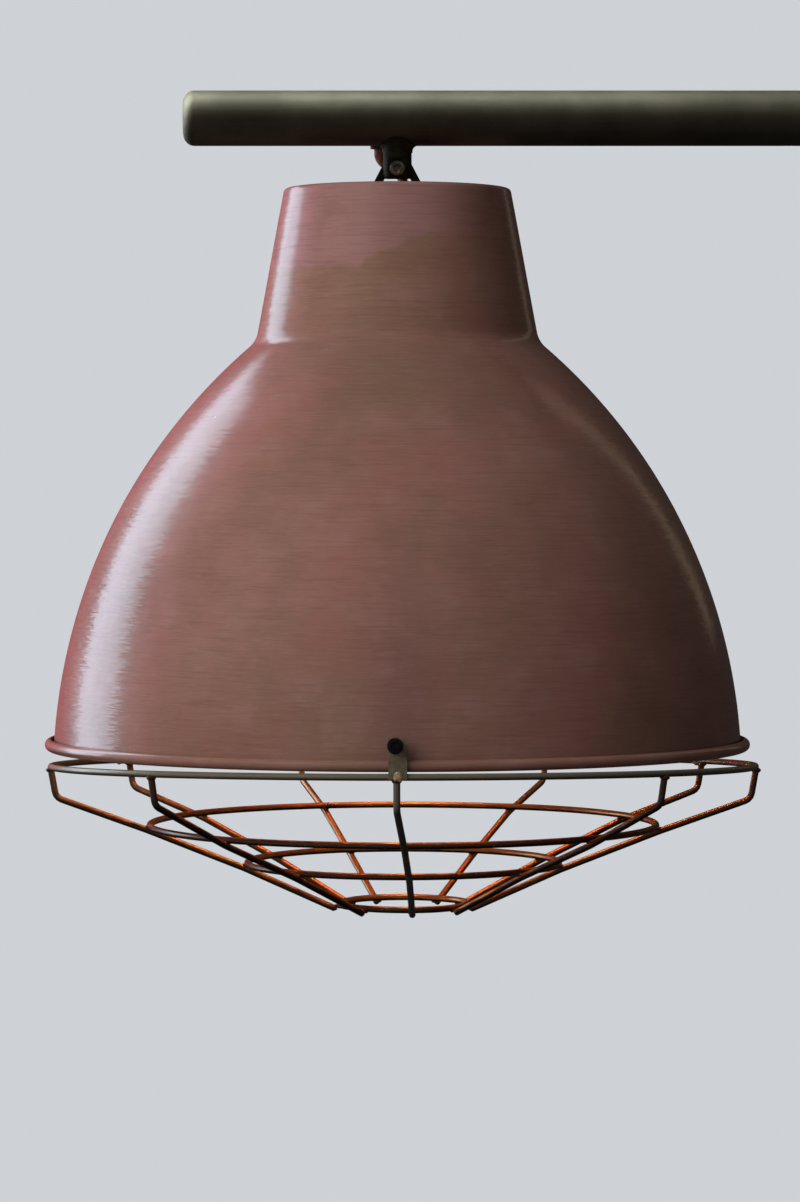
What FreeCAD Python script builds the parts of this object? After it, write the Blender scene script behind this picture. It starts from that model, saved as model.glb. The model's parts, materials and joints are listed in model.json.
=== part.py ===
import FreeCAD, Part
import math
import os

from FreeCAD import Vector

# Pendant ceiling light: a spun copper-plated bell shade with a wire guard, hung from a horizontal bar.
# Millimetres, +Z up. Everything is drawn with the shade's axis at x = 0 and the bar's axis at z = 0,
# and save() moves it so that the origin is the centre of the bar's open end face.

# Bar
BAR_R = 15.875
BAR_WALL = 2.0
BAR_REACH = 250.0          # shade axis to the open end
BAR_TAIL = 123.0           # shade axis to the closed end
CAP_LENGTH = 8.0
CAP_EDGE_R = 6.5
CAP_SPIGOT = 10.0
SLEEVE_BORE_R = 10.0
SLEEVE_LENGTH = 50.0
GRUB_R = 3.0
GRUB_FROM_END = 25.0
GRUB_SUNK = 0.2            # the screw sits this far inside the tube's face
CAP_SKIN = 4.0             # thickness of the end cap's closed face
FIT_GAP = 0.05             # round each piece that is pushed into another
THREAD_GAP = 0.01          # round each threaded shank
KEY_3 = 3.0                # sockets, across the flats
KEY_4 = 4.0
CUT = 1.0                  # how far a cutter runs past the face it leaves through

# Stem, fork and pivot
STEM_R = 8.75
PIVOT_Z = -29.4
FORK_SLOT = 6.0
FORK_HALF = 7.0            # half the thickness across the fork's flats
FORK_FLAT_TOP = -23.5
FORK_DROP = 5.0            # fork tip below the pivot
PIVOT_WASHER_T = 1.0
EYE_R = 8.6
EYE_PLATE = 5.0
EYE_GAP = 1.0              # slot roof above the eye
LEG_WIDTH = 4.5
LEG_SPLAY = math.radians(27.5)
RUNNING_GAP = 0.08
HOLE_GAP = 0.25

# Shade
SHADE_TOP_Z = -40.5
SHEET = 1.2
NECK_TOP_R = 65.0
NECK_TAPER = 0.185         # radius gained for each millimetre down
CORNER_R = 2.5
WAIST_R = 15.0
DOME_R = 326.0
DOME_CENTRE_R = -128.0     # the dome's arc is struck from beyond the axis
DOME_CENTRE_Z = -378.1
RIM_Z = -359.4
CURL_R = 2.65              # to the middle of the sheet
CURL_TURN = 270.0

# Shade top hardware
PLATE_LENGTH = 60.0
PLATE_WIDTH = 18.0
PLATE_T = 2.5
PLATE_SCREW_X = 22.0
DISC_R = 30.0
DISC_T = 3.0
GRIP_X = 3.0
GRIP_Y = 20.0
GRIP_R = 6.5
GRIP_H = 5.4
GRIP_SHANK_R = 4.9
GRIP_HOLE_R = 5.0
GRIP_NUT_FLATS = 12.0
GRIP_NUT_H = 2.5
SINK_DEPTH = 2.3           # countersunk heads
M5_R = 2.5
M5_WASHER_R = 5.0
M5_KEY_DEPTH = 2.6
M5_HEAD_R = 4.25
M5_HEAD_H = 5.0
M5_EDGE_R = 0.5
M5_NUT_FLATS = 8.0
M5_NUT_H = 4.0
M10_R = 5.0
M10_NUT_FLATS = 14.0
M10_NUT_H = 3.0

# Lampholder and bulb
NIPPLE_BORE_R = 4.0
NIPPLE_END_Z = -54.0
BRACKET_T = 1.5
BRACKET_HALF = 16.5
BRACKET_WIDTH = 12.0
HOLDER_TOP_Z = -64.0
HOLDER_FLOOR_Z = -78.0
HOLDER_MOUTH_Z = -108.0
HOLDER_R = 22.0
HOLDER_WAIST_TOP_Z = -84.0
HOLDER_WAIST_Z = -87.0
HOLDER_WAIST_STEP = 1.8
HOLDER_BORE_R = 14.6
BRACKET_SCREW_X = 11.0
M3_R = 1.5
EARTH_Z = -56.0
THREAD_R = 13.2
THREAD_WALL = 0.5
THREAD_GUARD = 0.35        # between the cap's ridges and the screw shell
THREAD_TOP_Z = -81.0
THREAD_END_Z = -103.0
CONTACT_T = 0.6
TERMINAL_Y = 13.0
TERMINAL_H = 3.5
BULB_R = 30.0
BULB_CENTRE_Z = -155.0
BULB_SHOULDER_R = 30.0
BULB_NECK_R = 12.3
BULB_GLASS = 0.8
CAP_TOP_Z = -84.0
CAP_MOUTH_Z = -106.0
CAP_R = 12.9
CAP_INNER_R = 12.4
CAP_RIDGE_R = 0.65
CAP_RIDGES = 4
THREAD_PITCH = 3.6
CROWN_H = 1.5
INSULATOR_H = 1.4
GLASS_INTO_CAP = 3.0
FILAMENTS = 4
FILAMENT_R = 0.9
SUPPORT_R = 0.35

# Flex
FLEX_R = 3.0
CORE_R = 1.1
GROMMET_X = -10.4
GROMMET_Y = 7.0
GROMMET_R = 4.0            # the hole it sits in
GROMMET_FLANGE_R = 5.2
GROMMET_TOP_Z = -10.0
GROMMET_END_Z = -17.0
FLEX_END_Z = -50.5         # where the sheath stops and the cores begin
SPLICE_X = BAR_REACH - 150
SPLICE_LENGTH = 34.0
SPLICE_PITCH = 5.4

# Guard
WIRE_R = 1.9
WELD_SET = 0.4             # how far crossing wires sink into each other
GUARD_X = 3.3              # the guard sits this much off the shade's axis
TOP_RING_R = 202.9
TOP_RING_Z = -372.5
TOP_RING_TILT = 2.14       # degrees, front edge up
UPPER_RING_R = 146.1
UPPER_RING_Z = -406.2
LOWER_RING_R = 90.1
LOWER_RING_Z = -428.4
BOTTOM_RING_R = 37.0
BOTTOM_RING_Z = -452.2
STRUT_BEND_R = 199.9
STRUT_END_R = 39.6
STRUT_SLOPE = math.radians(22.4)
TAB_SCREW_Z = -348.1
TAB_TOP_Z = -343.9
TAB_T = 1.6
TAB_WIDTH = 10.0
TAB_FACE_R = 203.6         # inner face of a tab, clear of the curl
TAB_CRANK_Z = -363.6
SCREW_WALL_R = 197.0       # outside of the shade at the screws' height
SPACER_R = 4.0
GUARD_WASHER_T = 1.4

# Each strut: azimuth at the top ring, at the upper ring, at the lower ring and at the bottom ring, in
# degrees to the right of the front, then the height of its bend. They were bent and set by hand.
STRUTS = {
    "front": (-1.0, 0.3, 2.2, 7.5, -383.5),
    "front_left": (-42.3, -41.6, -40.4, -36.0, -384.4),
    "left": (-88.0, -88.0, -88.0, -88.0, -390.4),
    "back_left": (-125.3, -125.8, -126.5, -128.0, -393.0),
    "rear_left": (-161.7, -161.2, -160.0, -157.0, -394.0),
    "rear_right": (154.2, 154.0, 153.0, 150.0, -394.0),
    "back_right": (118.0, 118.3, 119.0, 121.0, -393.0),
    "right": (85.0, 84.8, 84.4, 84.0, -390.4),
    "front_right": (44.3, 44.8, 46.0, 50.0, -384.4),
}

# Each tab: azimuth about the shade's axis, and how far its strip runs to the right of its screw.
TABS = {"front": (-0.3, 1.4), "left": (-124.5, 0.0), "right": (118.8, 0.0)}

X = Vector(1, 0, 0)
Y = Vector(0, 1, 0)
Z = Vector(0, 0, 1)
ORIGIN = Vector(0, 0, 0)


# Helpers

def save(name, shape):
    shape = shape.copy()
    shape.translate(Vector(-BAR_REACH, 0, 0))
    solids = shape.Solids
    print(f"{name:24s} solids {len(solids)} volume {shape.Volume:10.1f} valid {shape.isValid()}")
    shape.exportStep(f"parts/{name}.step")


def rod(r, start, end):
    return Part.makeCylinder(r, (end - start).Length, start, end - start)


def upright(r, z_top, z_bottom, x=0.0, y=0.0):
    return rod(r, Vector(x, y, z_bottom), Vector(x, y, z_top))


def pipe(r_out, r_in, start, end):
    return rod(r_out, start, end).cut(rod(r_in, start, end))


def block(x0, x1, y0, y1, z0, z1):
    return Part.makeBox(x1 - x0, y1 - y0, z1 - z0, Vector(x0, y0, z0))


def hexagon(flats, start, end):
    """A hexagonal prism from start to end."""
    corner = flats / 2 / math.cos(math.radians(30))
    points = []
    for i in range(7):
        angle = math.radians(60 * i)
        points.append(Vector(corner * math.cos(angle), corner * math.sin(angle), 0))
    prism = Part.Face(Part.makePolygon(points)).extrude(Vector(0, 0, (end - start).Length))
    prism.Placement = FreeCAD.Placement(start, FreeCAD.Rotation(Z, end - start))
    return prism


def nut(flats, thread_r, start, end):
    return hexagon(flats, start, end).cut(rod(thread_r + THREAD_GAP, start, end))


def socket_screw(face_y, tip_y, z):
    """An M5 cap screw along +Y, with its head in front of the face it clamps."""
    front = face_y - M5_HEAD_H
    head = rod(M5_HEAD_R, Vector(0, front, z), Vector(0, face_y, z))
    rim = [e for e in head.Edges if abs(e.BoundBox.YMax - front) < 0.01]
    head = head.makeFillet(M5_EDGE_R, rim)
    head = head.cut(hexagon(KEY_4, Vector(0, front, z), Vector(0, front + M5_KEY_DEPTH, z)))
    return head.fuse(rod(M5_R, Vector(0, face_y, z), Vector(0, tip_y, z)))


def turned(edges):
    """Revolve a closed outline in the XZ plane about the Z axis."""
    face = Part.Face(Part.Wire(Part.sortEdges(edges)[0]))
    return face.revolve(ORIGIN, Z, 360)


def rz(r, z):
    return Vector(r, 0, z)


def chain(points):
    return [Part.LineSegment(a, b).toShape() for a, b in zip(points, points[1:])]


def outline(points):
    return chain(points + points[:1])


def arc_about(centre, radius, start_deg, end_deg):
    """An arc in the XZ plane; the angle is from +X towards +Z."""
    points = []
    for angle in (start_deg, (start_deg + end_deg) / 2, end_deg):
        a = math.radians(angle)
        points.append(centre + Vector(radius * math.cos(a), 0, radius * math.sin(a)))
    return Part.Arc(*points).toShape(), points[0], points[2]


def around(azimuth, r, z):
    """A point at an azimuth in degrees to the right of the front, which faces -Y."""
    a = math.radians(azimuth)
    return Vector(r * math.sin(a), -r * math.cos(a), z)


def radial(shape, azimuth):
    """Turn a shape drawn at the front to its azimuth about the shade's axis."""
    shape = shape.copy()
    shape.rotate(ORIGIN, Z, azimuth)
    return shape


def group(shapes):
    return Part.makeCompound(shapes)


def wire_along(points, r, bends=None):
    """A round wire on straight runs joined by tangent arcs; a bend is given or as large as fits."""
    edges = []
    start = points[0]
    radii = []
    for i in range(1, len(points) - 1):
        corner = points[i]
        back = points[i - 1] - corner
        ahead = points[i + 1] - corner
        shorter = min(back.Length, ahead.Length)
        back.normalize()
        ahead.normalize()
        half = (math.pi - back.getAngle(ahead)) / 2
        bend = bends[i - 1] if bends else 0.45 * shorter / math.tan(half)
        setback = bend * math.tan(half)
        middle = back + ahead
        middle.normalize()
        inside = corner + middle * (bend / math.cos(half) - bend)
        enter = corner + back * setback
        leave = corner + ahead * setback
        edges.append(Part.LineSegment(start, enter).toShape())
        edges.append(Part.Arc(enter, inside, leave).toShape())
        radii.append(round(bend, 1))
        start = leave
    edges.append(Part.LineSegment(start, points[-1]).toShape())
    path = Part.Wire(edges)
    circle = Part.Wire(Part.Circle(points[0], points[1] - points[0], r).toShape())
    solid = path.makePipeShell([circle], True, False)
    drift = solid.Volume / (math.pi * r * r * path.Length)
    print(f"    wire length {path.Length:.1f} radii {radii} volume ratio {drift:.4f}")
    return solid


# Bar

def bar_tube():
    start = Vector(-BAR_TAIL + CAP_LENGTH, 0, 0)
    end = Vector(BAR_REACH, 0, 0)
    tube = pipe(BAR_R, BAR_R - BAR_WALL, start, end)
    tube = tube.cut(upright(GROMMET_R, 0, -BAR_R, GROMMET_X, GROMMET_Y))
    return tube.cut(grub_hole())


def bar_end_cap():
    end_x = -BAR_TAIL
    shoulder_x = end_x + CAP_LENGTH
    flange = rod(BAR_R, Vector(end_x, 0, 0), Vector(shoulder_x, 0, 0))
    rim = [e for e in flange.Edges if abs(e.BoundBox.XMax - end_x) < 0.01]
    flange = flange.makeFillet(CAP_EDGE_R, rim)
    spigot_r = BAR_R - BAR_WALL - FIT_GAP
    spigot_end = Vector(shoulder_x + CAP_SPIGOT, 0, 0)
    spigot = rod(spigot_r, Vector(shoulder_x, 0, 0), spigot_end)
    hollow = rod(spigot_r - BAR_WALL, Vector(end_x + CAP_SKIN, 0, 0), spigot_end)
    return flange.fuse(spigot).cut(hollow)


def grub_hole():
    x = BAR_REACH - GRUB_FROM_END
    return upright(GRUB_R, -SLEEVE_BORE_R + CUT, -BAR_R - CUT, x)


def socket_sleeve():
    outer_r = BAR_R - BAR_WALL - FIT_GAP
    start = Vector(BAR_REACH - SLEEVE_LENGTH, 0, 0)
    sleeve = pipe(outer_r, SLEEVE_BORE_R, start, Vector(BAR_REACH, 0, 0))
    return sleeve.cut(grub_hole())


def socket_grub_screw():
    x = BAR_REACH - GRUB_FROM_END
    foot = -BAR_R + GRUB_SUNK
    screw = upright(GRUB_R - FIT_GAP, -SLEEVE_BORE_R - 2 * GRUB_SUNK, foot, x)
    key = hexagon(KEY_3, Vector(x, 0, foot), Vector(x, 0, foot + 2.5))
    return screw.cut(key)


def bar_grommet():
    wall = pipe(BAR_R, BAR_R - BAR_WALL, Vector(-30, 0, 0), Vector(10, 0, 0))
    flanges = upright(GROMMET_FLANGE_R, GROMMET_TOP_Z, GROMMET_END_Z, GROMMET_X, GROMMET_Y).cut(wall)
    core = upright(GROMMET_R - FIT_GAP, GROMMET_TOP_Z, GROMMET_END_Z, GROMMET_X, GROMMET_Y)
    passage = upright(FLEX_R + FIT_GAP, GROMMET_TOP_Z + CUT, GROMMET_END_Z - CUT, GROMMET_X, GROMMET_Y)
    body = flanges.fuse(core).cut(passage)
    return body.cut(upright(STEM_R, 0, PIVOT_Z)).Solids[0]


# Stem, fork and pivot

def stem():
    tip_z = PIVOT_Z - FORK_DROP
    body = upright(STEM_R, 0, PIVOT_Z)
    nose = rod(STEM_R, Vector(0, -STEM_R, PIVOT_Z), Vector(0, STEM_R, PIVOT_Z))
    nose = nose.common(upright(STEM_R, PIVOT_Z, tip_z))
    body = body.fuse(nose).removeSplitter()
    wide = STEM_R + CUT
    for side in (-1, 1):
        y0, y1 = sorted((side * FORK_HALF, side * wide))
        body = body.cut(block(-wide, wide, y0, y1, tip_z - CUT, FORK_FLAT_TOP))
    slot_roof = PIVOT_Z + EYE_R + EYE_GAP
    body = body.cut(block(-wide, wide, -FORK_SLOT / 2, FORK_SLOT / 2, tip_z - CUT, slot_roof))
    hole = rod(M5_R + FIT_GAP, Vector(0, -STEM_R, PIVOT_Z), Vector(0, STEM_R, PIVOT_Z))
    bar = rod(BAR_R, Vector(-2 * STEM_R, 0, 0), Vector(2 * STEM_R, 0, 0))
    return body.cut(hole).cut(bar)


def pivot_bolt():
    return socket_screw(-FORK_HALF, FORK_HALF + PIVOT_WASHER_T + M5_NUT_H + 0.4, PIVOT_Z)


def pivot_washer():
    start = Vector(0, FORK_HALF, PIVOT_Z)
    return pipe(M5_WASHER_R, M5_R + HOLE_GAP, start, start + Y * PIVOT_WASHER_T)


def pivot_nut():
    start = Vector(0, FORK_HALF + PIVOT_WASHER_T, PIVOT_Z)
    return nut(M5_NUT_FLATS, M5_R, start, start + Y * M5_NUT_H)


def hanger_stirrup():
    """A flat closed bail: an eye on the pivot, and two legs that splay down to the plate."""
    base_z = SHADE_TOP_Z + PLATE_T
    drop = PIVOT_Z - base_z
    slope = math.tan(LEG_SPLAY)
    foot = EYE_R / math.cos(LEG_SPLAY) + drop * slope
    touch_x = EYE_R * math.cos(LEG_SPLAY)
    touch_z = PIVOT_Z + EYE_R * math.sin(LEG_SPLAY)
    sides = [rz(-touch_x, touch_z), rz(-foot, base_z), rz(foot, base_z), rz(touch_x, touch_z)]
    arch = Part.Arc(rz(touch_x, touch_z), rz(0, PIVOT_Z + EYE_R), rz(-touch_x, touch_z)).toShape()
    face = Part.Face(Part.Wire(chain(sides) + [arch]))
    window_top = PIVOT_Z - FORK_DROP
    inset = LEG_WIDTH / math.cos(LEG_SPLAY)
    low = foot - inset
    high = low - (window_top - base_z) * slope
    window = outline([rz(-high, window_top), rz(-low, base_z), rz(low, base_z), rz(high, window_top)])
    bail = face.extrude(Y * EYE_PLATE).cut(Part.Face(Part.Wire(window)).extrude(Y * EYE_PLATE))
    bail.translate(Y * (-EYE_PLATE / 2))
    return bail.cut(rod(M5_R + RUNNING_GAP, Vector(0, -EYE_PLATE, PIVOT_Z), Vector(0, EYE_PLATE, PIVOT_Z)))


# Shade

def waist_fillet():
    """Centre of the waist fillet, which touches the neck's cone and the dome's arc from outside."""
    lean = math.atan(NECK_TAPER)
    reach = DOME_R + WAIST_R
    # Along the line parallel to the cone at WAIST_R outside it, find the point at `reach` from the dome's
    # centre: r = r0 + taper * s, z = SHADE_TOP_Z - s.
    r0 = NECK_TOP_R + WAIST_R / math.cos(lean) - DOME_CENTRE_R
    z0 = SHADE_TOP_Z - DOME_CENTRE_Z
    a = NECK_TAPER ** 2 + 1
    b = 2 * (NECK_TAPER * r0 - z0)
    c = r0 ** 2 + z0 ** 2 - reach ** 2
    s = (-b - math.sqrt(b * b - 4 * a * c)) / (2 * a)
    return rz(r0 + DOME_CENTRE_R + NECK_TAPER * s, SHADE_TOP_Z - s)


def shade_side(depth):
    """One face of the sheet, `depth` inside the outer face, from the axis to the curl's lip."""
    lean = math.atan(NECK_TAPER)
    lean_deg = math.degrees(lean)
    top_z = SHADE_TOP_Z - depth
    corner_z = SHADE_TOP_Z - CORNER_R
    corner_centre = rz(NECK_TOP_R + CORNER_R * NECK_TAPER - CORNER_R / math.cos(lean), corner_z)
    corner, cone_top, flat_end = arc_about(corner_centre, CORNER_R - depth, lean_deg, 90)
    centre = waist_fillet()
    dome_centre = rz(DOME_CENTRE_R, DOME_CENTRE_Z)
    to_dome = centre - dome_centre
    join_deg = math.degrees(math.atan2(to_dome.z, to_dome.x))
    waist, cone_end, dome_start = arc_about(centre, WAIST_R + depth, 180 + lean_deg, 180 + join_deg)
    rim_deg = math.degrees(math.asin((RIM_Z - DOME_CENTRE_Z) / (DOME_R - SHEET / 2)))
    dome, _, dome_end = arc_about(dome_centre, DOME_R - depth, join_deg, rim_deg)
    rim = rz(math.cos(math.radians(rim_deg)), math.sin(math.radians(rim_deg)))
    curl_centre = dome_centre + rim * (DOME_R - SHEET / 2 + CURL_R)
    curl_r = CURL_R - SHEET / 2 + depth
    curl, _, lip = arc_about(curl_centre, curl_r, 180 + rim_deg, 180 + rim_deg + CURL_TURN)
    edges = chain([rz(0, top_z), flat_end])
    edges += [corner]
    edges += chain([cone_top, cone_end])
    edges += [waist, dome, curl]
    return edges, lip


def through_top(r, x, y):
    """A cutter for a hole through the plate, the sheet and the disc under it."""
    return upright(r, SHADE_TOP_Z + PLATE_T + CUT, SHADE_TOP_Z - SHEET - DISC_T - CUT, x, y)


def shade_shell():
    outside, outer_lip = shade_side(0)
    inside, inner_lip = shade_side(SHEET)
    ends = chain([outer_lip, inner_lip]) + chain([rz(0, SHADE_TOP_Z), rz(0, SHADE_TOP_Z - SHEET)])
    shell = turned(outside + inside + ends)
    for side in (-1, 1):
        shell = shell.cut(through_top(M5_R + HOLE_GAP, side * PLATE_SCREW_X, 0))
    shell = shell.cut(through_top(GRIP_HOLE_R, GRIP_X, GRIP_Y))
    for azimuth, _ in TABS.values():
        inside = Vector(0, -SCREW_WALL_R + 4 * SHEET, TAB_SCREW_Z)
        hole = rod(M5_R + HOLE_GAP, inside, Vector(0, -TAB_FACE_R, TAB_SCREW_Z))
        shell = shell.cut(radial(hole, azimuth))
    return shell


# Hanger plate, its screws, and the disc that stiffens the shade's top

def hanger_plate():
    z0 = SHADE_TOP_Z
    half = PLATE_LENGTH / 2 - PLATE_WIDTH / 2
    plate = block(-half, half, -PLATE_WIDTH / 2, PLATE_WIDTH / 2, z0, z0 + PLATE_T)
    for side in (-1, 1):
        plate = plate.fuse(upright(PLATE_WIDTH / 2, z0 + PLATE_T, z0, side * half))
    for side in (-1, 1):
        plate = plate.cut(through_top(M5_R + HOLE_GAP, side * PLATE_SCREW_X, 0))
        plate = plate.cut(countersink(side, FIT_GAP))
    return plate.removeSplitter()


def countersink(side, gap):
    top = SHADE_TOP_Z + PLATE_T
    foot = Vector(side * PLATE_SCREW_X, 0, top - SINK_DEPTH)
    return Part.makeCone(M5_R + gap, M5_R + SINK_DEPTH + gap, SINK_DEPTH, foot, Z)


def hanger_screws():
    screws = []
    top = SHADE_TOP_Z + PLATE_T
    tip = SHADE_TOP_Z - SHEET - DISC_T - M5_NUT_H - 3.3
    for side in (-1, 1):
        x = side * PLATE_SCREW_X
        screw = countersink(side, 0).fuse(upright(M5_R, top - SINK_DEPTH / 2, tip, x))
        screws.append(screw.cut(hexagon(KEY_3, Vector(x, 0, top - 1.6), Vector(x, 0, top))))
    return group(screws)


def hanger_nuts():
    under = SHADE_TOP_Z - SHEET - DISC_T
    nuts = []
    for side in (-1, 1):
        start = Vector(side * PLATE_SCREW_X, 0, under)
        nuts.append(nut(M5_NUT_FLATS, M5_R, start, start - Z * M5_NUT_H))
    return group(nuts)


def stiffening_disc():
    top = SHADE_TOP_Z - SHEET
    disc = upright(DISC_R, top, top - DISC_T)
    for side in (-1, 1):
        disc = disc.cut(through_top(M5_R + HOLE_GAP, side * PLATE_SCREW_X, 0))
    disc = disc.cut(through_top(M10_R + 2 * THREAD_GAP, 0, 0))
    return disc.cut(through_top(GRIP_HOLE_R, GRIP_X, GRIP_Y))


def cord_grip():
    collar_top = SHADE_TOP_Z + GRIP_H
    end = SHADE_TOP_Z - SHEET - DISC_T - GRIP_NUT_H - 1.5
    collar = upright(GRIP_R, collar_top, SHADE_TOP_Z, GRIP_X, GRIP_Y)
    rim = [e for e in collar.Edges if abs(e.BoundBox.ZMin - collar_top) < 0.01]
    collar = collar.makeFillet(1.6, rim)
    body = collar.fuse(upright(GRIP_SHANK_R, SHADE_TOP_Z, end, GRIP_X, GRIP_Y))
    return body.cut(upright(FLEX_R + FIT_GAP, collar_top + CUT, end - CUT, GRIP_X, GRIP_Y))


def cord_grip_nut():
    start = Vector(GRIP_X, GRIP_Y, SHADE_TOP_Z - SHEET - DISC_T)
    return nut(GRIP_NUT_FLATS, GRIP_SHANK_R + FIT_GAP, start, start - Z * GRIP_NUT_H)


# Lampholder

def nipple():
    top = SHADE_TOP_Z - SHEET
    return pipe(M10_R, NIPPLE_BORE_R, Vector(0, 0, NIPPLE_END_Z), Vector(0, 0, top))


def nipple_nuts():
    first = Vector(0, 0, SHADE_TOP_Z - SHEET - DISC_T)
    second = first - Z * (M10_NUT_H + BRACKET_T)
    nuts = [nut(M10_NUT_FLATS, M10_R, s, s - Z * M10_NUT_H) for s in (first, second)]
    return group(nuts)


def bracket_top():
    return SHADE_TOP_Z - SHEET - DISC_T - M10_NUT_H


def lampholder_bracket():
    half = BRACKET_WIDTH / 2
    inner = BRACKET_HALF - BRACKET_T
    loop = block(-BRACKET_HALF, BRACKET_HALF, -half, half, HOLDER_TOP_Z, bracket_top())
    loop = loop.cut(block(-inner, inner, -half, half, HOLDER_TOP_Z + BRACKET_T, bracket_top() - BRACKET_T))
    feet_top = HOLDER_TOP_Z + BRACKET_T
    loop = loop.cut(block(-half, half, -half, half, HOLDER_TOP_Z - CUT, feet_top + CUT))
    loop = loop.cut(upright(M10_R + HOLE_GAP, bracket_top() + CUT, bracket_top() - BRACKET_T - CUT))
    for side in (-1, 1):
        screw_x = side * BRACKET_SCREW_X
        loop = loop.cut(upright(M3_R + HOLE_GAP, feet_top + CUT, HOLDER_TOP_Z - CUT, screw_x))
    earth_start = Vector(-BRACKET_HALF - CUT, 0, EARTH_Z)
    return loop.cut(rod(M3_R + FIT_GAP, earth_start, Vector(-inner + CUT, 0, EARTH_Z)))


def bracket_screws():
    feet_top = HOLDER_TOP_Z + BRACKET_T
    return group([slotted_screw(side * BRACKET_SCREW_X, 0, feet_top, 8.0) for side in (-1, 1)])


def slotted_screw(x, y, seat, into_body):
    """An M3 screw, head up, with its slot along X."""
    head = upright(2 * M3_R - 0.4, seat + 2.0, seat, x, y)
    head = head.cut(block(x - 3, x + 3, y - 0.4, y + 0.4, seat + CUT, seat + 2 * CUT))
    return head.fuse(upright(M3_R, seat, HOLDER_TOP_Z - into_body, x, y))


def lampholder_body():
    points = [
        rz(0, HOLDER_TOP_Z),
        rz(HOLDER_R - 1.5, HOLDER_TOP_Z),
        rz(HOLDER_R, HOLDER_TOP_Z - 1.5),
        rz(HOLDER_R, HOLDER_WAIST_TOP_Z),
        rz(HOLDER_R - HOLDER_WAIST_STEP, HOLDER_WAIST_Z),
        rz(HOLDER_R - HOLDER_WAIST_STEP, HOLDER_MOUTH_Z + 1),
        rz(HOLDER_R - HOLDER_WAIST_STEP - 1, HOLDER_MOUTH_Z),
        rz(HOLDER_BORE_R, HOLDER_MOUTH_Z),
        rz(HOLDER_BORE_R, HOLDER_FLOOR_Z),
        rz(0, HOLDER_FLOOR_Z),
    ]
    body = turned(outline(points))
    for side in (-1, 1):
        body = body.cut(upright(M3_R, HOLDER_TOP_Z + CUT, HOLDER_TOP_Z - 8, side * BRACKET_SCREW_X))
        body = body.cut(upright(M3_R, HOLDER_TOP_Z + CUT, HOLDER_TOP_Z - 5, 0, side * TERMINAL_Y))
    return body


def screw_shell():
    """The rolled brass thread that the bulb's cap screws into."""
    r_in = THREAD_R + THREAD_GUARD
    top = Vector(0, 0, THREAD_TOP_Z)
    shell = pipe(r_in + THREAD_WALL, r_in, Vector(0, 0, THREAD_END_Z), top)
    return shell.fuse(pipe(HOLDER_BORE_R, r_in + THREAD_WALL / 2, top - Z, top))


def centre_contact():
    tongue = block(-9, 3, -2.5, 2.5, HOLDER_FLOOR_Z - CONTACT_T, HOLDER_FLOOR_Z)
    return tongue.fuse(upright(2.0, HOLDER_FLOOR_Z, HOLDER_FLOOR_Z - 2.0))


def terminals():
    blocks = []
    for side in (-1, 1):
        y = side * TERMINAL_Y
        top = HOLDER_TOP_Z + TERMINAL_H
        post = block(-4.0, 2.5, y - 2.5, y + 2.5, HOLDER_TOP_Z, top)
        blocks.append(post.cut(upright(M3_R + FIT_GAP, top + CUT, HOLDER_TOP_Z - CUT, 0, y)))
    return group(blocks)


def terminal_screws():
    seat = HOLDER_TOP_Z + TERMINAL_H
    return group([slotted_screw(0, side * TERMINAL_Y, seat, 4.0) for side in (-1, 1)])


def earth_screw():
    face = Vector(-BRACKET_HALF, 0, EARTH_Z)
    seat = face - X * 1.2
    head = rod(2 * M3_R - 0.4, seat - X * 2.0, seat)
    tag = rod(2 * M3_R + 0.2, seat, face)
    return head.fuse(tag).fuse(rod(M3_R, face, face + X * 4.0))


# Bulb

def glass_side(depth):
    """One face of the envelope, `depth` inside the outer face, from the tip up to the neck's end."""
    neck_r = BULB_NECK_R - depth
    shoulder_r = BULB_NECK_R + BULB_SHOULDER_R
    rise = math.sqrt((BULB_R + BULB_SHOULDER_R) ** 2 - shoulder_r ** 2)
    ball_centre = rz(0, BULB_CENTRE_Z)
    shoulder_centre = rz(shoulder_r, BULB_CENTRE_Z + rise)
    join = math.degrees(math.atan2(rise, shoulder_r))
    ball, _, _ = arc_about(ball_centre, BULB_R - depth, -90, join)
    shoulder, _, neck = arc_about(shoulder_centre, BULB_SHOULDER_R + depth, 180 + join, 180)
    top = rz(neck_r, CAP_MOUTH_Z + GLASS_INTO_CAP - depth)
    return [ball, shoulder] + chain([neck, top, rz(0, top.z)])


def bulb_glass():
    tips = chain([rz(0, BULB_CENTRE_Z - BULB_R), rz(0, BULB_CENTRE_Z - BULB_R + BULB_GLASS)])
    crown_z = CAP_MOUTH_Z + GLASS_INTO_CAP
    crown = chain([rz(0, crown_z), rz(0, crown_z - BULB_GLASS)])
    return turned(glass_side(0) + glass_side(BULB_GLASS) + tips + crown)


def bulb_mount():
    """The glass column that carries the filaments."""
    top = CAP_MOUTH_Z + GLASS_INTO_CAP - BULB_GLASS
    flare = Part.makeCone(4.0, 8.0, 6.0, Vector(0, 0, top - 6), Z)
    column = upright(2.6, top - 5, -132)
    return flare.fuse(column).fuse(Part.makeSphere(3.2, Vector(0, 0, -133)))


def filament_ends(i):
    top = around(360 / FILAMENTS * i, 5.0, -126)
    bottom = around(360 / FILAMENTS * i + 45, 11.0, -164)
    return top, bottom


def bulb_filaments():
    return group([rod(FILAMENT_R, *filament_ends(i)) for i in range(FILAMENTS)])


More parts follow.
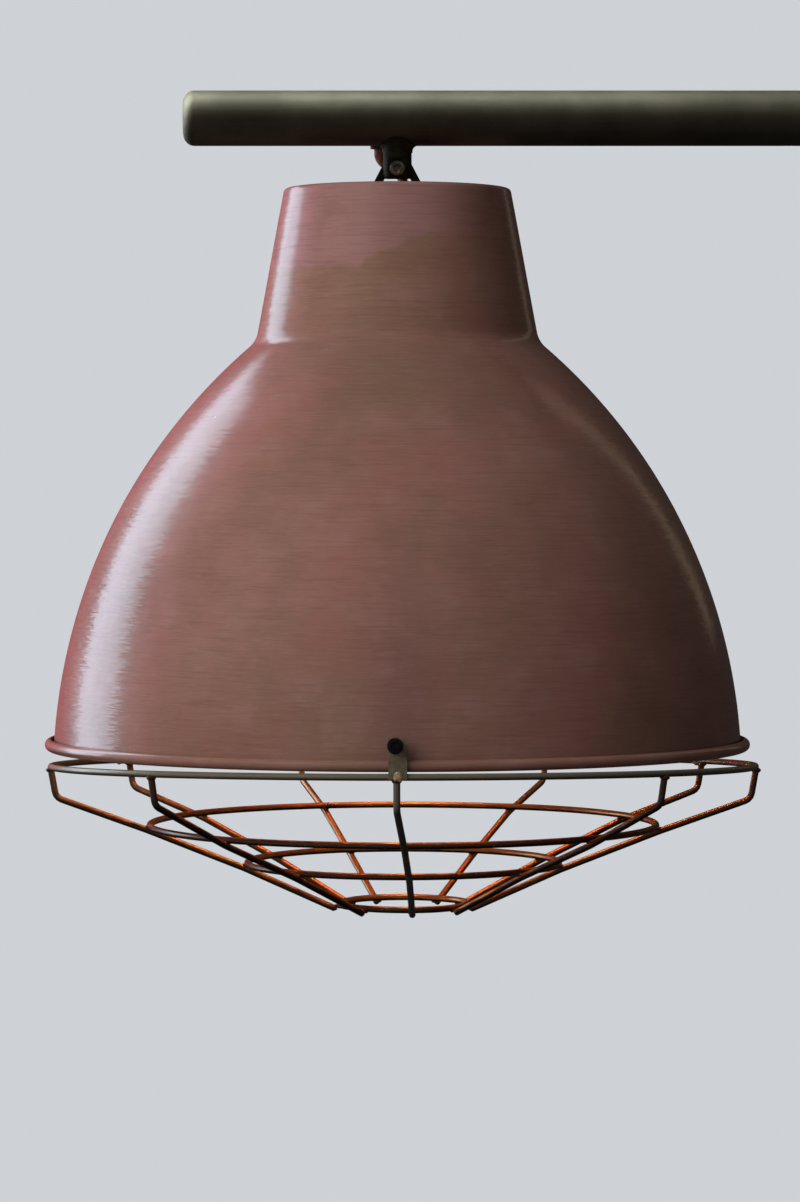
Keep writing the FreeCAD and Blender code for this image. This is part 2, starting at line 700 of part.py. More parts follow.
def bulb_supports():
    """Fine wires from the column to the filaments' ends."""
    wires = []
    for i in range(FILAMENTS):
        top, bottom = filament_ends(i)
        wires.append(rod(SUPPORT_R, around(360 / FILAMENTS * i, 2.5, -124), top + Z * 0.2))
        hub = around(360 / FILAMENTS * i + 45, 1.0, -168)
        wires.append(rod(SUPPORT_R, hub, bottom))
    spine = rod(FILAMENT_R, Vector(0, 0, -168.5), Vector(0, 0, -136))
    return group(wires + [spine])


def bulb_cap():
    """The screw cap, with rolled ridges in place of a helix."""
    top = Vector(0, 0, CAP_TOP_Z)
    cap = pipe(CAP_R, CAP_INNER_R, Vector(0, 0, CAP_MOUTH_Z), top)
    for i in range(CAP_RIDGES):
        ridge = Part.makeTorus(THREAD_R - CAP_RIDGE_R, CAP_RIDGE_R, top - Z * (4.0 + THREAD_PITCH * i))
        cap = cap.fuse(ridge.cut(upright(CAP_INNER_R, CAP_TOP_Z, CAP_MOUTH_Z)))
    crown = Part.makeCone(CAP_R, 9.0, CROWN_H, top, Z)
    return cap.fuse(crown.cut(Part.makeCone(CAP_INNER_R, 8.4, CROWN_H, top, Z)))


def bulb_insulator():
    foot = CAP_TOP_Z + CROWN_H
    collar = Part.makeCone(8.9, 5.0, INSULATOR_H, Vector(0, 0, foot), Z)
    return collar.cut(upright(4.2, foot + INSULATOR_H, foot))


def bulb_contact():
    foot = CAP_TOP_Z + CROWN_H
    top = foot + INSULATOR_H
    return upright(4.15, top, foot).fuse(Part.makeCone(4.1, 2.6, 0.7, Vector(0, 0, top), Z))


# Flex and its cores

def splice_block():
    end_x = SPLICE_X + SPLICE_LENGTH
    body = block(SPLICE_X, end_x, -9, 9, -10.2, 1.8)
    for y in (-SPLICE_PITCH, 0, SPLICE_PITCH):
        body = body.cut(rod(1.6, Vector(end_x - 14, y, -4), Vector(end_x + CUT, y, -4)))
        body = body.cut(upright(1.3, 3, -4, SPLICE_X + 10, y))
    return body


def flex_in_bar():
    x = GROMMET_X
    y = GROMMET_Y
    points = [
        Vector(SPLICE_X, 0, -4),
        Vector(78, 0, -4),
        Vector(52, 1.6, -2.8),
        Vector(26, 4.6, 1.4),
        Vector(6.4, y - 0.2, 6.6),
        Vector(-5.0, y, 5.4),
        Vector(x, y, -2.2),
        Vector(x, y, GROMMET_END_Z),
    ]
    return wire_along(points, FLEX_R)


def flex_drop():
    """From the bar's grommet, behind the stem, into the cord grip on the shade's top."""
    points = [
        Vector(GROMMET_X, GROMMET_Y, GROMMET_END_Z),
        Vector(GROMMET_X, GROMMET_Y, -21.0),
        Vector(-8.2, 12.0, -24.4),
        Vector(-4.2, 16.8, -26.6),
        Vector(0.6, 19.4, -28.8),
        Vector(GRIP_X, GRIP_Y, -32.8),
        Vector(GRIP_X, GRIP_Y, FLEX_END_Z),
    ]
    return wire_along(points, FLEX_R)


def core_line():
    start = Vector(GRIP_X, GRIP_Y - 1.4, FLEX_END_Z)
    ends = Vector(0.4, TERMINAL_Y + 3.65, -61.8)
    return wire_along([start, start - Z * 5, ends + Vector(0.2, 2.4, 2.6), ends], CORE_R)


def core_neutral():
    start = Vector(GRIP_X + 1.3, GRIP_Y + 0.8, FLEX_END_Z)
    points = [
        start,
        start - Z * 4,
        Vector(13.5, 15.5, -57.0),
        Vector(20.2, 5.5, -58.6),
        Vector(19.8, -6.0, -59.8),
        Vector(12.5, -12.6, -61.2),
        Vector(2.7, -TERMINAL_Y, -62.2),
    ]
    return wire_along(points, CORE_R)


def core_earth():
    start = Vector(GRIP_X - 1.3, GRIP_Y + 0.8, FLEX_END_Z)
    points = [
        start,
        start - Z * 4,
        Vector(-8.0, 19.6, -57.0),
        Vector(-17.8, 12.4, -57.4),
        Vector(-BRACKET_HALF - 0.6 - CORE_R, 3.5, EARTH_Z),
    ]
    return wire_along(points, CORE_R)


# Guard fixings, on the shade

def guard_screws():
    tip = -SCREW_WALL_R + SHEET + GUARD_WASHER_T + M5_NUT_H + 2.4
    screw = socket_screw(-TAB_FACE_R - TAB_T, tip, TAB_SCREW_Z)
    return group([radial(screw, azimuth) for azimuth, _ in TABS.values()])


def shade_faces():
    """The solid inside the shade's outer face, and the one inside its inner face, at the screws' height."""
    faces = []
    z0 = TAB_SCREW_Z - 2 * M5_WASHER_R
    z1 = TAB_SCREW_Z + 2 * M5_WASHER_R
    for depth in (0, SHEET):
        ball_r = DOME_R - depth
        arc = []
        for z in (z0, TAB_SCREW_Z, z1):
            arc.append(rz(DOME_CENTRE_R + math.sqrt(ball_r ** 2 - (z - DOME_CENTRE_Z) ** 2), z))
        edges = [Part.Arc(*arc).toShape()] + chain([arc[2], rz(0, z1), rz(0, z0), arc[0]])
        faces.append(turned(edges))
    return faces


def guard_spacers():
    z = TAB_SCREW_Z
    tube = pipe(SPACER_R, M5_R + HOLE_GAP, Vector(0, -TAB_FACE_R, z), Vector(0, -SCREW_WALL_R + 2, z))
    outer = shade_faces()[0]
    return group([radial(tube, azimuth).cut(outer) for azimuth, _ in TABS.values()])


def guard_washers():
    start = Vector(0, -SCREW_WALL_R, TAB_SCREW_Z)
    disc = pipe(M5_WASHER_R, M5_R + HOLE_GAP, start, start + Y * (SHEET + GUARD_WASHER_T))
    inner = shade_faces()[1]
    return group([radial(disc, azimuth).common(inner) for azimuth, _ in TABS.values()])


def guard_nuts():
    start = Vector(0, -SCREW_WALL_R + SHEET + GUARD_WASHER_T, TAB_SCREW_Z)
    piece = nut(M5_NUT_FLATS, M5_R, start, start + Y * M5_NUT_H)
    return group([radial(piece, azimuth) for azimuth, _ in TABS.values()])


# Guard

def ring(r, z, tilt=0.0):
    torus = Part.makeTorus(r, WIRE_R, Vector(0, 0, z))
    torus.rotate(Vector(0, 0, z), X, -tilt)
    torus.translate(X * GUARD_X)
    return torus


def top_ring_z(azimuth):
    """Height of the tilted top ring's wire."""
    front = TOP_RING_R * math.cos(math.radians(azimuth))
    return TOP_RING_Z + front * math.sin(math.radians(TOP_RING_TILT))


def under(azimuth, ring_r, ring_z):
    """Where a strut's wire passes just outside and below a ring's wire."""
    gap = 2 * WIRE_R - WELD_SET
    return around(azimuth, ring_r + gap * math.sin(STRUT_SLOPE), ring_z - gap * math.cos(STRUT_SLOPE))


def strut(name):
    top, upper, lower, bottom, bend_z = STRUTS[name]
    end = under(bottom, BOTTOM_RING_R, BOTTOM_RING_Z)
    lift = (STRUT_END_R - math.hypot(end.x, end.y)) * math.tan(STRUT_SLOPE)
    points = [
        around(top, TOP_RING_R, top_ring_z(top) - WIRE_R + WELD_SET),
        around(top, STRUT_BEND_R, bend_z),
        under(upper, UPPER_RING_R, UPPER_RING_Z),
        under(lower, LOWER_RING_R, LOWER_RING_Z),
        around(bottom, STRUT_END_R, end.z + lift),
    ]
    wire = wire_along(points, WIRE_R, bends=(6.0, 60.0, 60.0))
    tip = Part.makeSphere(WIRE_R, points[-1])
    wire = wire.fuse(tip)
    wire.translate(X * GUARD_X)
    return wire


def tab(name):
    """A strip with an open slot at its top, cranked where it has to reach the ring."""
    azimuth, shift = TABS[name]
    ring_r = TOP_RING_R + GUARD_X * math.sin(math.radians(azimuth))
    ring_z = top_ring_z(azimuth)
    foot_r = min(ring_r + WIRE_R * 0.6, TAB_FACE_R)
    foot_z = ring_z - 1.2
    straight = foot_r > TAB_FACE_R - 0.01
    bend_z = foot_z if straight else TAB_CRANK_Z
    inner = [rz(TAB_FACE_R, TAB_TOP_Z), rz(TAB_FACE_R, bend_z)]
    outer = [rz(TAB_FACE_R + TAB_T, bend_z), rz(TAB_FACE_R + TAB_T, TAB_TOP_Z)]
    foot = [] if straight else [rz(foot_r, foot_z), rz(foot_r + TAB_T, foot_z)]
    side = Part.Face(Part.Wire(outline(inner + foot + outer)))
    side.translate(Y * (shift - TAB_WIDTH / 2))
    strip = side.extrude(Y * TAB_WIDTH)
    slot_r = M5_R + HOLE_GAP
    slot = rod(slot_r, rz(TAB_FACE_R - 5, TAB_SCREW_Z), rz(TAB_FACE_R + 5, TAB_SCREW_Z))
    slot = slot.fuse(block(TAB_FACE_R - 5, TAB_FACE_R + 5, -slot_r, slot_r, TAB_SCREW_Z, TAB_TOP_Z + 1))
    strip = strip.cut(slot)
    # The strip was drawn towards +X; the front faces -Y.
    strip.rotate(ORIGIN, Z, -90 + azimuth)
    return strip.cut(ring(TOP_RING_R, TOP_RING_Z, TOP_RING_TILT))


PIECES = {
    "bar_tube": bar_tube,
    "bar_end_cap": bar_end_cap,
    "socket_sleeve": socket_sleeve,
    "socket_grub_screw": socket_grub_screw,
    "bar_grommet": bar_grommet,
    "stem": stem,
    "pivot_bolt": pivot_bolt,
    "pivot_washer": pivot_washer,
    "pivot_nut": pivot_nut,
    "hanger_stirrup": hanger_stirrup,
    "hanger_plate": hanger_plate,
    "hanger_screws": hanger_screws,
    "hanger_nuts": hanger_nuts,
    "stiffening_disc": stiffening_disc,
    "shade_shell": shade_shell,
    "cord_grip": cord_grip,
    "cord_grip_nut": cord_grip_nut,
    "nipple": nipple,
    "nipple_nuts": nipple_nuts,
    "lampholder_bracket": lampholder_bracket,
    "bracket_screws": bracket_screws,
    "lampholder_body": lampholder_body,
    "screw_shell": screw_shell,
    "centre_contact": centre_contact,
    "terminals": terminals,
    "terminal_screws": terminal_screws,
    "earth_screw": earth_screw,
    "bulb_glass": bulb_glass,
    "bulb_mount": bulb_mount,
    "bulb_filaments": bulb_filaments,
    "bulb_supports": bulb_supports,
    "bulb_cap": bulb_cap,
    "bulb_insulator": bulb_insulator,
    "bulb_contact": bulb_contact,
    "splice_block": splice_block,
    "flex_in_bar": flex_in_bar,
    "flex_drop": flex_drop,
    "core_line": core_line,
    "core_neutral": core_neutral,
    "core_earth": core_earth,
    "guard_screws": guard_screws,
    "guard_spacers": guard_spacers,
    "guard_washers": guard_washers,
    "guard_nuts": guard_nuts,
}


def main():
    os.makedirs("parts", exist_ok=True)
    for name, make in PIECES.items():
        save(name, make())
    save("guard_ring_top", ring(TOP_RING_R, TOP_RING_Z, TOP_RING_TILT))
    save("guard_ring_upper", ring(UPPER_RING_R, UPPER_RING_Z))
    save("guard_ring_lower", ring(LOWER_RING_R, LOWER_RING_Z))
    save("guard_ring_bottom", ring(BOTTOM_RING_R, BOTTOM_RING_Z))
    for name in STRUTS:
        save(f"guard_strut_{name}", strut(name))
    for name in TABS:
        save(f"guard_tab_{name}", tab(name))


main()
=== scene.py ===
import json
import math

import bmesh
import bpy
from mathutils import Matrix, Quaternion, Vector, noise

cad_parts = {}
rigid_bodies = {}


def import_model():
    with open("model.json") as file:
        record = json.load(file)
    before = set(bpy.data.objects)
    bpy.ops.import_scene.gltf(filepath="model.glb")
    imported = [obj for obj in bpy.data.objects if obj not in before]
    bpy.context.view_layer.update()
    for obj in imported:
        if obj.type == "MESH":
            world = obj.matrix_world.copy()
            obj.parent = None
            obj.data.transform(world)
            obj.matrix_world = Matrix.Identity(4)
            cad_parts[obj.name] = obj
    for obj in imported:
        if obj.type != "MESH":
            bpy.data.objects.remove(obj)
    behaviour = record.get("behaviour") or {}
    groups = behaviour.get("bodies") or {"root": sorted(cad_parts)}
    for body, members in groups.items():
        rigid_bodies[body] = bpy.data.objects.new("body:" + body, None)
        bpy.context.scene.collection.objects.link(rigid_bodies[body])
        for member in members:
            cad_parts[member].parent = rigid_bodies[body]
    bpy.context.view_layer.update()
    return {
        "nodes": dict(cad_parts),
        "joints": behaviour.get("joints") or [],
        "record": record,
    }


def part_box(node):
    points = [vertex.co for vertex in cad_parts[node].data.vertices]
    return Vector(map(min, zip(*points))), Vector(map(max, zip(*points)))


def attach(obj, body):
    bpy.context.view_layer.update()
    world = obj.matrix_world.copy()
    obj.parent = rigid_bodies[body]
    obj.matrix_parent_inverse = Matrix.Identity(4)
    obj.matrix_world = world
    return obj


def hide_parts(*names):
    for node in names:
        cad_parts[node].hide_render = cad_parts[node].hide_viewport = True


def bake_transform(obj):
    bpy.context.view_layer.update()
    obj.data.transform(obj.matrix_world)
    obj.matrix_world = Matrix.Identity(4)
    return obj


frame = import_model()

# Pendant ceiling light. Metres, +Z up, the front faces -Y.

MM = 0.001
SHADE_LO, SHADE_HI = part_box("shade_shell")
AXIS = Vector(((SHADE_LO.x + SHADE_HI.x) / 2, 0, 0))
MIDDLE = AXIS + Vector((0, 0, (SHADE_LO.z + SHADE_HI.z) / 2))
BODY = {node: body for body, nodes in frame["record"]["behaviour"]["bodies"].items() for node in nodes}

# Shade
SHEET = 1.2 * MM
TOP_Z = SHADE_HI.z
NECK_TOP_R = 65.0 * MM
NECK_TAPER = 0.185
CORNER_R = 2.5 * MM
WAIST_R = 15.0 * MM
DOME_R = 326.0 * MM
DOME_CENTRE = (-128.0 * MM, -378.1 * MM)
RIM_Z = -359.4 * MM
CURL_R = 2.65 * MM
CURL_TURN = 270.0
# Middle of the painted red reflection to the left of the waist.
RED_REFLECTION_SPOT = (-84.6 * MM, -94.0 * MM, -175.0 * MM)

# Guard
RING_NODES = ("guard_ring_top", "guard_ring_upper", "guard_ring_lower", "guard_ring_bottom")
UPPER_LO, UPPER_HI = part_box("guard_ring_upper")
WIRE_R = (UPPER_HI.z - UPPER_LO.z) / 2
GUARD_AXIS = Vector(((UPPER_LO.x + UPPER_HI.x) / 2, 0, 0))
TOP_RING_TILT = math.radians(2.14)
WELD_SET = 0.4 * MM
STRUT_BEND_R = 199.9 * MM
STRUT_END_R = 39.6 * MM
STRUT_SLOPE = math.radians(22.4)
# Each strut: azimuth to the right of the front at the four rings, in degrees, and the height of its bend.
STRUTS = {
    "front": (-1.0, 0.3, 2.2, 7.5, -383.5 * MM),
    "front_left": (-42.3, -41.6, -40.4, -36.0, -384.4 * MM),
    "left": (-88.0, -88.0, -88.0, -88.0, -390.4 * MM),
    "back_left": (-125.3, -125.8, -126.5, -128.0, -393.0 * MM),
    "rear_left": (-161.7, -161.2, -160.0, -157.0, -394.0 * MM),
    "rear_right": (154.2, 154.0, 153.0, 150.0, -394.0 * MM),
    "back_right": (118.0, 118.3, 119.0, 121.0, -393.0 * MM),
    "right": (85.0, 84.8, 84.4, 84.0, -390.4 * MM),
    "front_right": (44.3, 44.8, 46.0, 50.0, -384.4 * MM),
}
TABS = {"front": -0.3, "left": -124.5, "right": 118.8}
TAB_FACE_R = 203.6 * MM
TAB_T = 1.6 * MM
TAB_SCREW_Z = -348.1 * MM
SEAT_GAP = 0.03 * MM
# Weld beads: half their width, and half their depth.
TOP_BEAD = (2.7 * MM, 1.7 * MM)
CROSSING_BEAD = (2.2 * MM, 1.0 * MM)
TAB_BEAD = (3.0 * MM, 1.6 * MM)

# Bar, stem and pivot
BAR_LO, BAR_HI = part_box("bar_tube")
BAR_R = (BAR_HI.z - BAR_LO.z) / 2
BAR_BORE_R = BAR_R - 2.0 * MM
CAP_EDGE_R = 6.5 * MM
GROMMET_HOLE_R = 4.0 * MM
GRUB_HOLE_R = 3.0 * MM
STEM_R = 8.75 * MM
PIVOT_Z = frame["joints"][0]["pos_m"][2]
FORK_HALF = 7.0 * MM
M5_R = 2.5 * MM
M5_HEAD_R = 4.25 * MM
M5_HEAD_H = 5.0 * MM
M5_KEY = 4.0 * MM             # across the flats of the socket
TAB_SHANK = 17.0 * MM
PIVOT_SHANK = 19.4 * MM
STEM_WELD = 3.4 * MM

# Flex
FLEX_R = 3.0 * MM

# Bulb
BULB_LO, BULB_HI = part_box("bulb_glass")
BULB_R = 30.0 * MM
BULB_CENTRE_Z = BULB_LO.z + BULB_R
BULB_NECK_R = 12.3 * MM
BULB_SHOULDER_R = 30.0 * MM
BULB_GLASS = 0.8 * MM
BULB_CAP_R = 12.9 * MM
BULB_CAP_BORE_R = 12.45 * MM
BULB_THREAD = 3.62 * MM       # pitch


# Camera and light

CAMERA_BACK = 2.42
CAMERA_DROP = -0.209
CAMERA_ASIDE = 0.0015
CAMERA_TILT = math.radians(1.62)
CAMERA_LENS = 125.8


def up(height):
    return Vector((0, 0, height))


def add_object(name, data):
    made = bpy.data.objects.new(name, data)
    bpy.context.scene.collection.objects.link(made)
    return made


def add_camera():
    camera = add_object("camera", bpy.data.cameras.new("camera"))
    camera.location = AXIS + Vector((CAMERA_ASIDE, -CAMERA_BACK, CAMERA_DROP))
    camera.rotation_euler = (math.pi / 2 - CAMERA_TILT, 0, 0)
    camera.data.lens = CAMERA_LENS
    camera.data.sensor_width = 36
    camera.data.clip_start = 0.05
    camera.data.clip_end = 100
    bpy.context.scene.camera = camera


def add_lamp(name, place, target, size, power, colour, roll=0.0):
    """A soft rectangular studio light that the camera doesn't see directly; roll is in degrees."""
    data = bpy.data.lights.new(name, "AREA")
    data.shape = "RECTANGLE"
    data.size, data.size_y = size
    data.energy = power
    data.color = colour
    lamp = add_object(name, data)
    lamp.location = place
    aim = (Vector(target) - Vector(place)).to_track_quat("-Z", "Y")
    lamp.rotation_euler = (aim @ Quaternion((0, 0, 1), math.radians(roll))).to_euler()
    lamp.visible_camera = False
    return lamp


def from_axis(left, rise, distance):
    """A place around the light: degrees to the left of the front, degrees up, and a distance in metres."""
    a, e = math.radians(left), math.radians(rise)
    flat = Vector((-math.sin(a), -math.cos(a), 0)) * math.cos(e)
    return MIDDLE + (flat + up(math.sin(e))) * distance


def add_lights():
    add_lamp("window", from_axis(124, 16, 2.3), MIDDLE, (1.08, 2.2), 30.5, (0.68, 0.83, 1.0), roll=20)
    add_lamp("red_edge", from_axis(155, 16, 2.3), MIDDLE, (1.3, 2.4), 4.2, (1.0, 0.04, 0.09), roll=10)
    add_lamp("red_flank", from_axis(97, 16, 2.3), MIDDLE, (0.50, 2.4), 2.2, (1.0, 0.14, 0.32), roll=20)
    add_lamp("right_streak", from_axis(-136, 25, 2.6), MIDDLE, (0.20, 2.2), 0.62, (1.0, 0.76, 0.50), roll=20)
    key = add_lamp("key", from_axis(46, 31, 3.0), MIDDLE, (2.4, 2.4), 84, (1.0, 0.98, 0.96))
    key.visible_glossy = False
    top = add_lamp("bar_light", AXIS + Vector((-0.90, 0.10, 1.0)), AXIS, (0.6, 2.2), 80, (0.98, 1.0, 0.97))
    top.light_linking.receiver_collection = bpy.data.collections.new("bar_light_falls_on")
    bulb = bpy.data.lights.new("bulb_glow", "POINT")
    bulb.energy = 0.75
    bulb.color = (1.0, 0.55, 0.24)
    bulb.shadow_soft_size = 0.02
    add_object("bulb_glow", bulb).location = AXIS + up(BULB_CENTRE_Z)


def set_world():
    """Pale to the camera; to surfaces, a room that is lighter to the left, in front and above."""
    world = bpy.data.worlds.new("studio")
    bpy.context.scene.world = world
    world.use_nodes = True
    world.node_tree.nodes.clear()
    tree = Nodes(world.node_tree)
    direction = tree.node("ShaderNodeTexCoord").outputs["Generated"]
    lighter = Vector((-0.55, -0.50, 0.67)).normalized()
    towards = tree.measure("DOT_PRODUCT", direction, lighter)
    spread = tree.node("ShaderNodeMapRange", {"Value": towards, "From Min": -1})
    room = tree.node("ShaderNodeValToRGB", {"Fac": spread.outputs["Result"]})
    dark_end, light_end = room.color_ramp.elements
    dark_end.position = 0.30
    dark_end.color = (0.030, 0.028, 0.026, 1)
    light_end.position = 0.86
    light_end.color = (0.24, 0.20, 0.195, 1)
    lit = tree.node("ShaderNodeBackground", {"Color": room.outputs["Color"]})
    seen = tree.node("ShaderNodeBackground", {"Color": (0.62, 0.645, 0.675, 1)})
    camera_ray = tree.node("ShaderNodeLightPath").outputs["Is Camera Ray"]
    chosen = tree.node("ShaderNodeMixShader", {"Fac": camera_ray, 1: lit.outputs[0], 2: seen.outputs[0]})
    tree.node("ShaderNodeOutputWorld", {"Surface": chosen.outputs[0]})
    bpy.context.scene.view_settings.view_transform = "Standard"


def add_floor():
    floor = add_object("floor", bpy.data.meshes.new("floor"))
    disc = bmesh.new()
    bmesh.ops.create_circle(disc, cap_ends=True, segments=96, radius=7.0)
    disc.to_mesh(floor.data)
    disc.free()
    floor.location = AXIS + up(-5.2)
    floor.visible_diffuse = floor.visible_glossy = False
    pale = (0.72, 0.74, 0.77, 1)
    glow = {"Emission Color": pale, "Emission Strength": 0.55}
    look = Look("floor_paint", {"Base Color": pale, "Roughness": 0.9, **glow})
    floor.data.materials.append(look.material)


# Materials

class Nodes:
    """A node tree, with short calls that add to it."""

    def __init__(self, tree):
        self.tree = tree

    def node(self, kind, inputs=None, **settings):
        made = self.tree.nodes.new(kind)
        for key, value in settings.items():
            setattr(made, key, value)
        for key, value in (inputs or {}).items():
            if isinstance(value, bpy.types.NodeSocket):
                self.tree.links.new(value, made.inputs[key])
            else:
                made.inputs[key].default_value = value
        return made

    def measure(self, operation, a, b=(0, 0, 0)):
        """A vector operation that gives one number."""
        return self.node("ShaderNodeVectorMath", {0: a, 1: b}, operation=operation).outputs["Value"]


class Look(Nodes):
    """A material, with short calls for the nodes that it needs."""

    def __init__(self, name, settings):
        self.material = bpy.data.materials.new(name)
        self.material.use_nodes = True
        super().__init__(self.material.node_tree)
        self.surface = self.tree.nodes["Principled BSDF"]
        for socket, value in settings.items():
            self.surface.inputs[socket].default_value = value

    def set(self, socket, value):
        self.tree.links.new(value, self.surface.inputs[socket])

    def place(self):
        """Position in the row frame, which rides with the body."""
        return self.node("ShaderNodeTexCoord").outputs["Object"]

    def vector(self, operation, a, b=(0, 0, 0)):
        return self.node("ShaderNodeVectorMath", {0: a, 1: b}, operation=operation).outputs["Vector"]

    def split(self, vector):
        parts = self.node("ShaderNodeSeparateXYZ", {0: vector}).outputs
        return parts["X"], parts["Y"], parts["Z"]

    def moved(self, vector, offset=(0, 0, 0), scale=(1, 1, 1)):
        inputs = {"Vector": vector, "Location": offset, "Scale": scale}
        return self.node("ShaderNodeMapping", inputs).outputs["Vector"]

    def noise(self, vector, scale, detail=3.0, roughness=0.5):
        inputs = {"Vector": vector, "Scale": scale, "Detail": detail, "Roughness": roughness}
        return self.node("ShaderNodeTexNoise", inputs).outputs["Fac"]

    def math(self, operation, a, b=0.0):
        return self.node("ShaderNodeMath", {0: a, 1: b}, operation=operation).outputs["Value"]

    def plus(self, a, b):
        return self.math("ADD", a, b)

    def times(self, a, b):
        return self.math("MULTIPLY", a, b)

    def scaled(self, value, low, high, to_low=0.0, to_high=1.0):
        inputs = {"Value": value, "From Min": low, "From Max": high, "To Min": to_low, "To Max": to_high}
        return self.node("ShaderNodeMapRange", inputs, clamp=True).outputs["Result"]

    def ranged(self, noise_value, to_low, to_high):
        """A noise's middle reach, brought to another range."""
        return self.scaled(noise_value, 0.3, 0.7, to_low, to_high)

    def mix(self, factor, a, b):
        a = (*a, 1) if isinstance(a, tuple) else a
        b = (*b, 1) if isinstance(b, tuple) else b
        inputs = {0: factor, 6: a, 7: b}
        return self.node("ShaderNodeMix", inputs, data_type="RGBA").outputs[2]

    def tint(self, base, colour, value, low, high, amount=1.0):
        """Another colour over the base, growing to an amount as a value goes from low to high."""
        return self.mix(self.scaled(value, low, high, 0.0, amount), base, colour)

    def bump(self, height, depth, strength=1.0, normal=None):
        inputs = {"Height": height, "Distance": depth, "Strength": strength}
        if normal:
            inputs["Normal"] = normal
        return self.node("ShaderNodeBump", inputs).outputs["Normal"]

    def axis_parts(self, centre):
        """Offset from a vertical axis, its length, and the height."""
        offset = self.moved(self.place(), offset=tuple(-centre))
        x, y, z = self.split(offset)
        flat = self.node("ShaderNodeCombineXYZ", {0: x, 1: y}).outputs[0]
        return offset, self.measure("LENGTH", flat), z


def turned_lines(look, offset, radius, height, lengthwise, across, detail):
    """Fine marks that run round the axis, as a polishing lathe leaves them."""
    along = look.math("SUBTRACT", height, look.times(radius, 0.8))
    x, y, _ = look.split(offset)
    parts = {0: look.times(x, lengthwise), 1: look.times(y, lengthwise), 2: look.times(along, across)}
    return look.noise(look.node("ShaderNodeCombineXYZ", parts).outputs[0], 1.0, detail, 0.6)


def frayed(look, streaks, reach):
    """The surface normal turned a little to either side, streak by streak, as brushing leaves it."""
    tangent = look.node("ShaderNodeTangent", direction_type="RADIAL", axis="Z").outputs["Tangent"]
    turn = {0: tangent, "Scale": look.ranged(streaks, -reach, reach)}
    sideways = look.node("ShaderNodeVectorMath", turn, operation="SCALE").outputs["Vector"]
    true = look.node("ShaderNodeNewGeometry").outputs["Normal"]
    return look.vector("NORMALIZE", look.vector("ADD", true, sideways)), tangent


def neck_stain(look, offset, height, base):
    """Paler, pinker lacquer on the top of the neck, ending at an uneven tide line; browner metal below it."""
    side = look.split(offset)[0]
    step = look.scaled(side, -22 * MM, 18 * MM, -88 * MM, -69 * MM)
    drip = look.ranged(look.noise(offset, 80.0, 3.0), -2 * MM, 2 * MM)
    above = look.plus(look.math("SUBTRACT", height, step), drip)
    edge = look.scaled(above, -1.2 * MM, 1.6 * MM)
    fade = look.scaled(side, 48 * MM, 18 * MM, 0.0, 0.75)
    base = look.mix(look.times(edge, fade), base, (0.325, 0.165, 0.160))
    below = look.times(look.scaled(above, 1.6 * MM, -1.2 * MM), look.scaled(height, -145 * MM, -95 * MM))
    return look.mix(look.times(below, 0.55), base, (0.252, 0.142, 0.090))


def painted_red_reflection(look, offset, base):
    """Painted reflection of red light beside the highlight, to the left of the waist on the front of the
    dome.
    """
    away = look.measure("DISTANCE", offset, RED_REFLECTION_SPOT)
    return look.tint(base, (0.320, 0.092, 0.066), away, 55 * MM, 5 * MM, 0.50)


def painted_front_reflection(look, offset, height, base):
    """Painted dark, purplish reflection down the middle of the front of the dome, where the dark room in
    front is mirrored.
    """
    x, y, _ = look.split(offset)
    across = look.math("ABSOLUTE", look.plus(x, -2 * MM))
    reflection_band = look.times(look.scaled(across, 22 * MM, 4 * MM), look.scaled(height, -190 * MM, -330 * MM))
    front = look.scaled(y, 0.0, -40 * MM, 0.0, 0.60)
    return look.mix(look.times(reflection_band, front), base, (0.190, 0.088, 0.082))


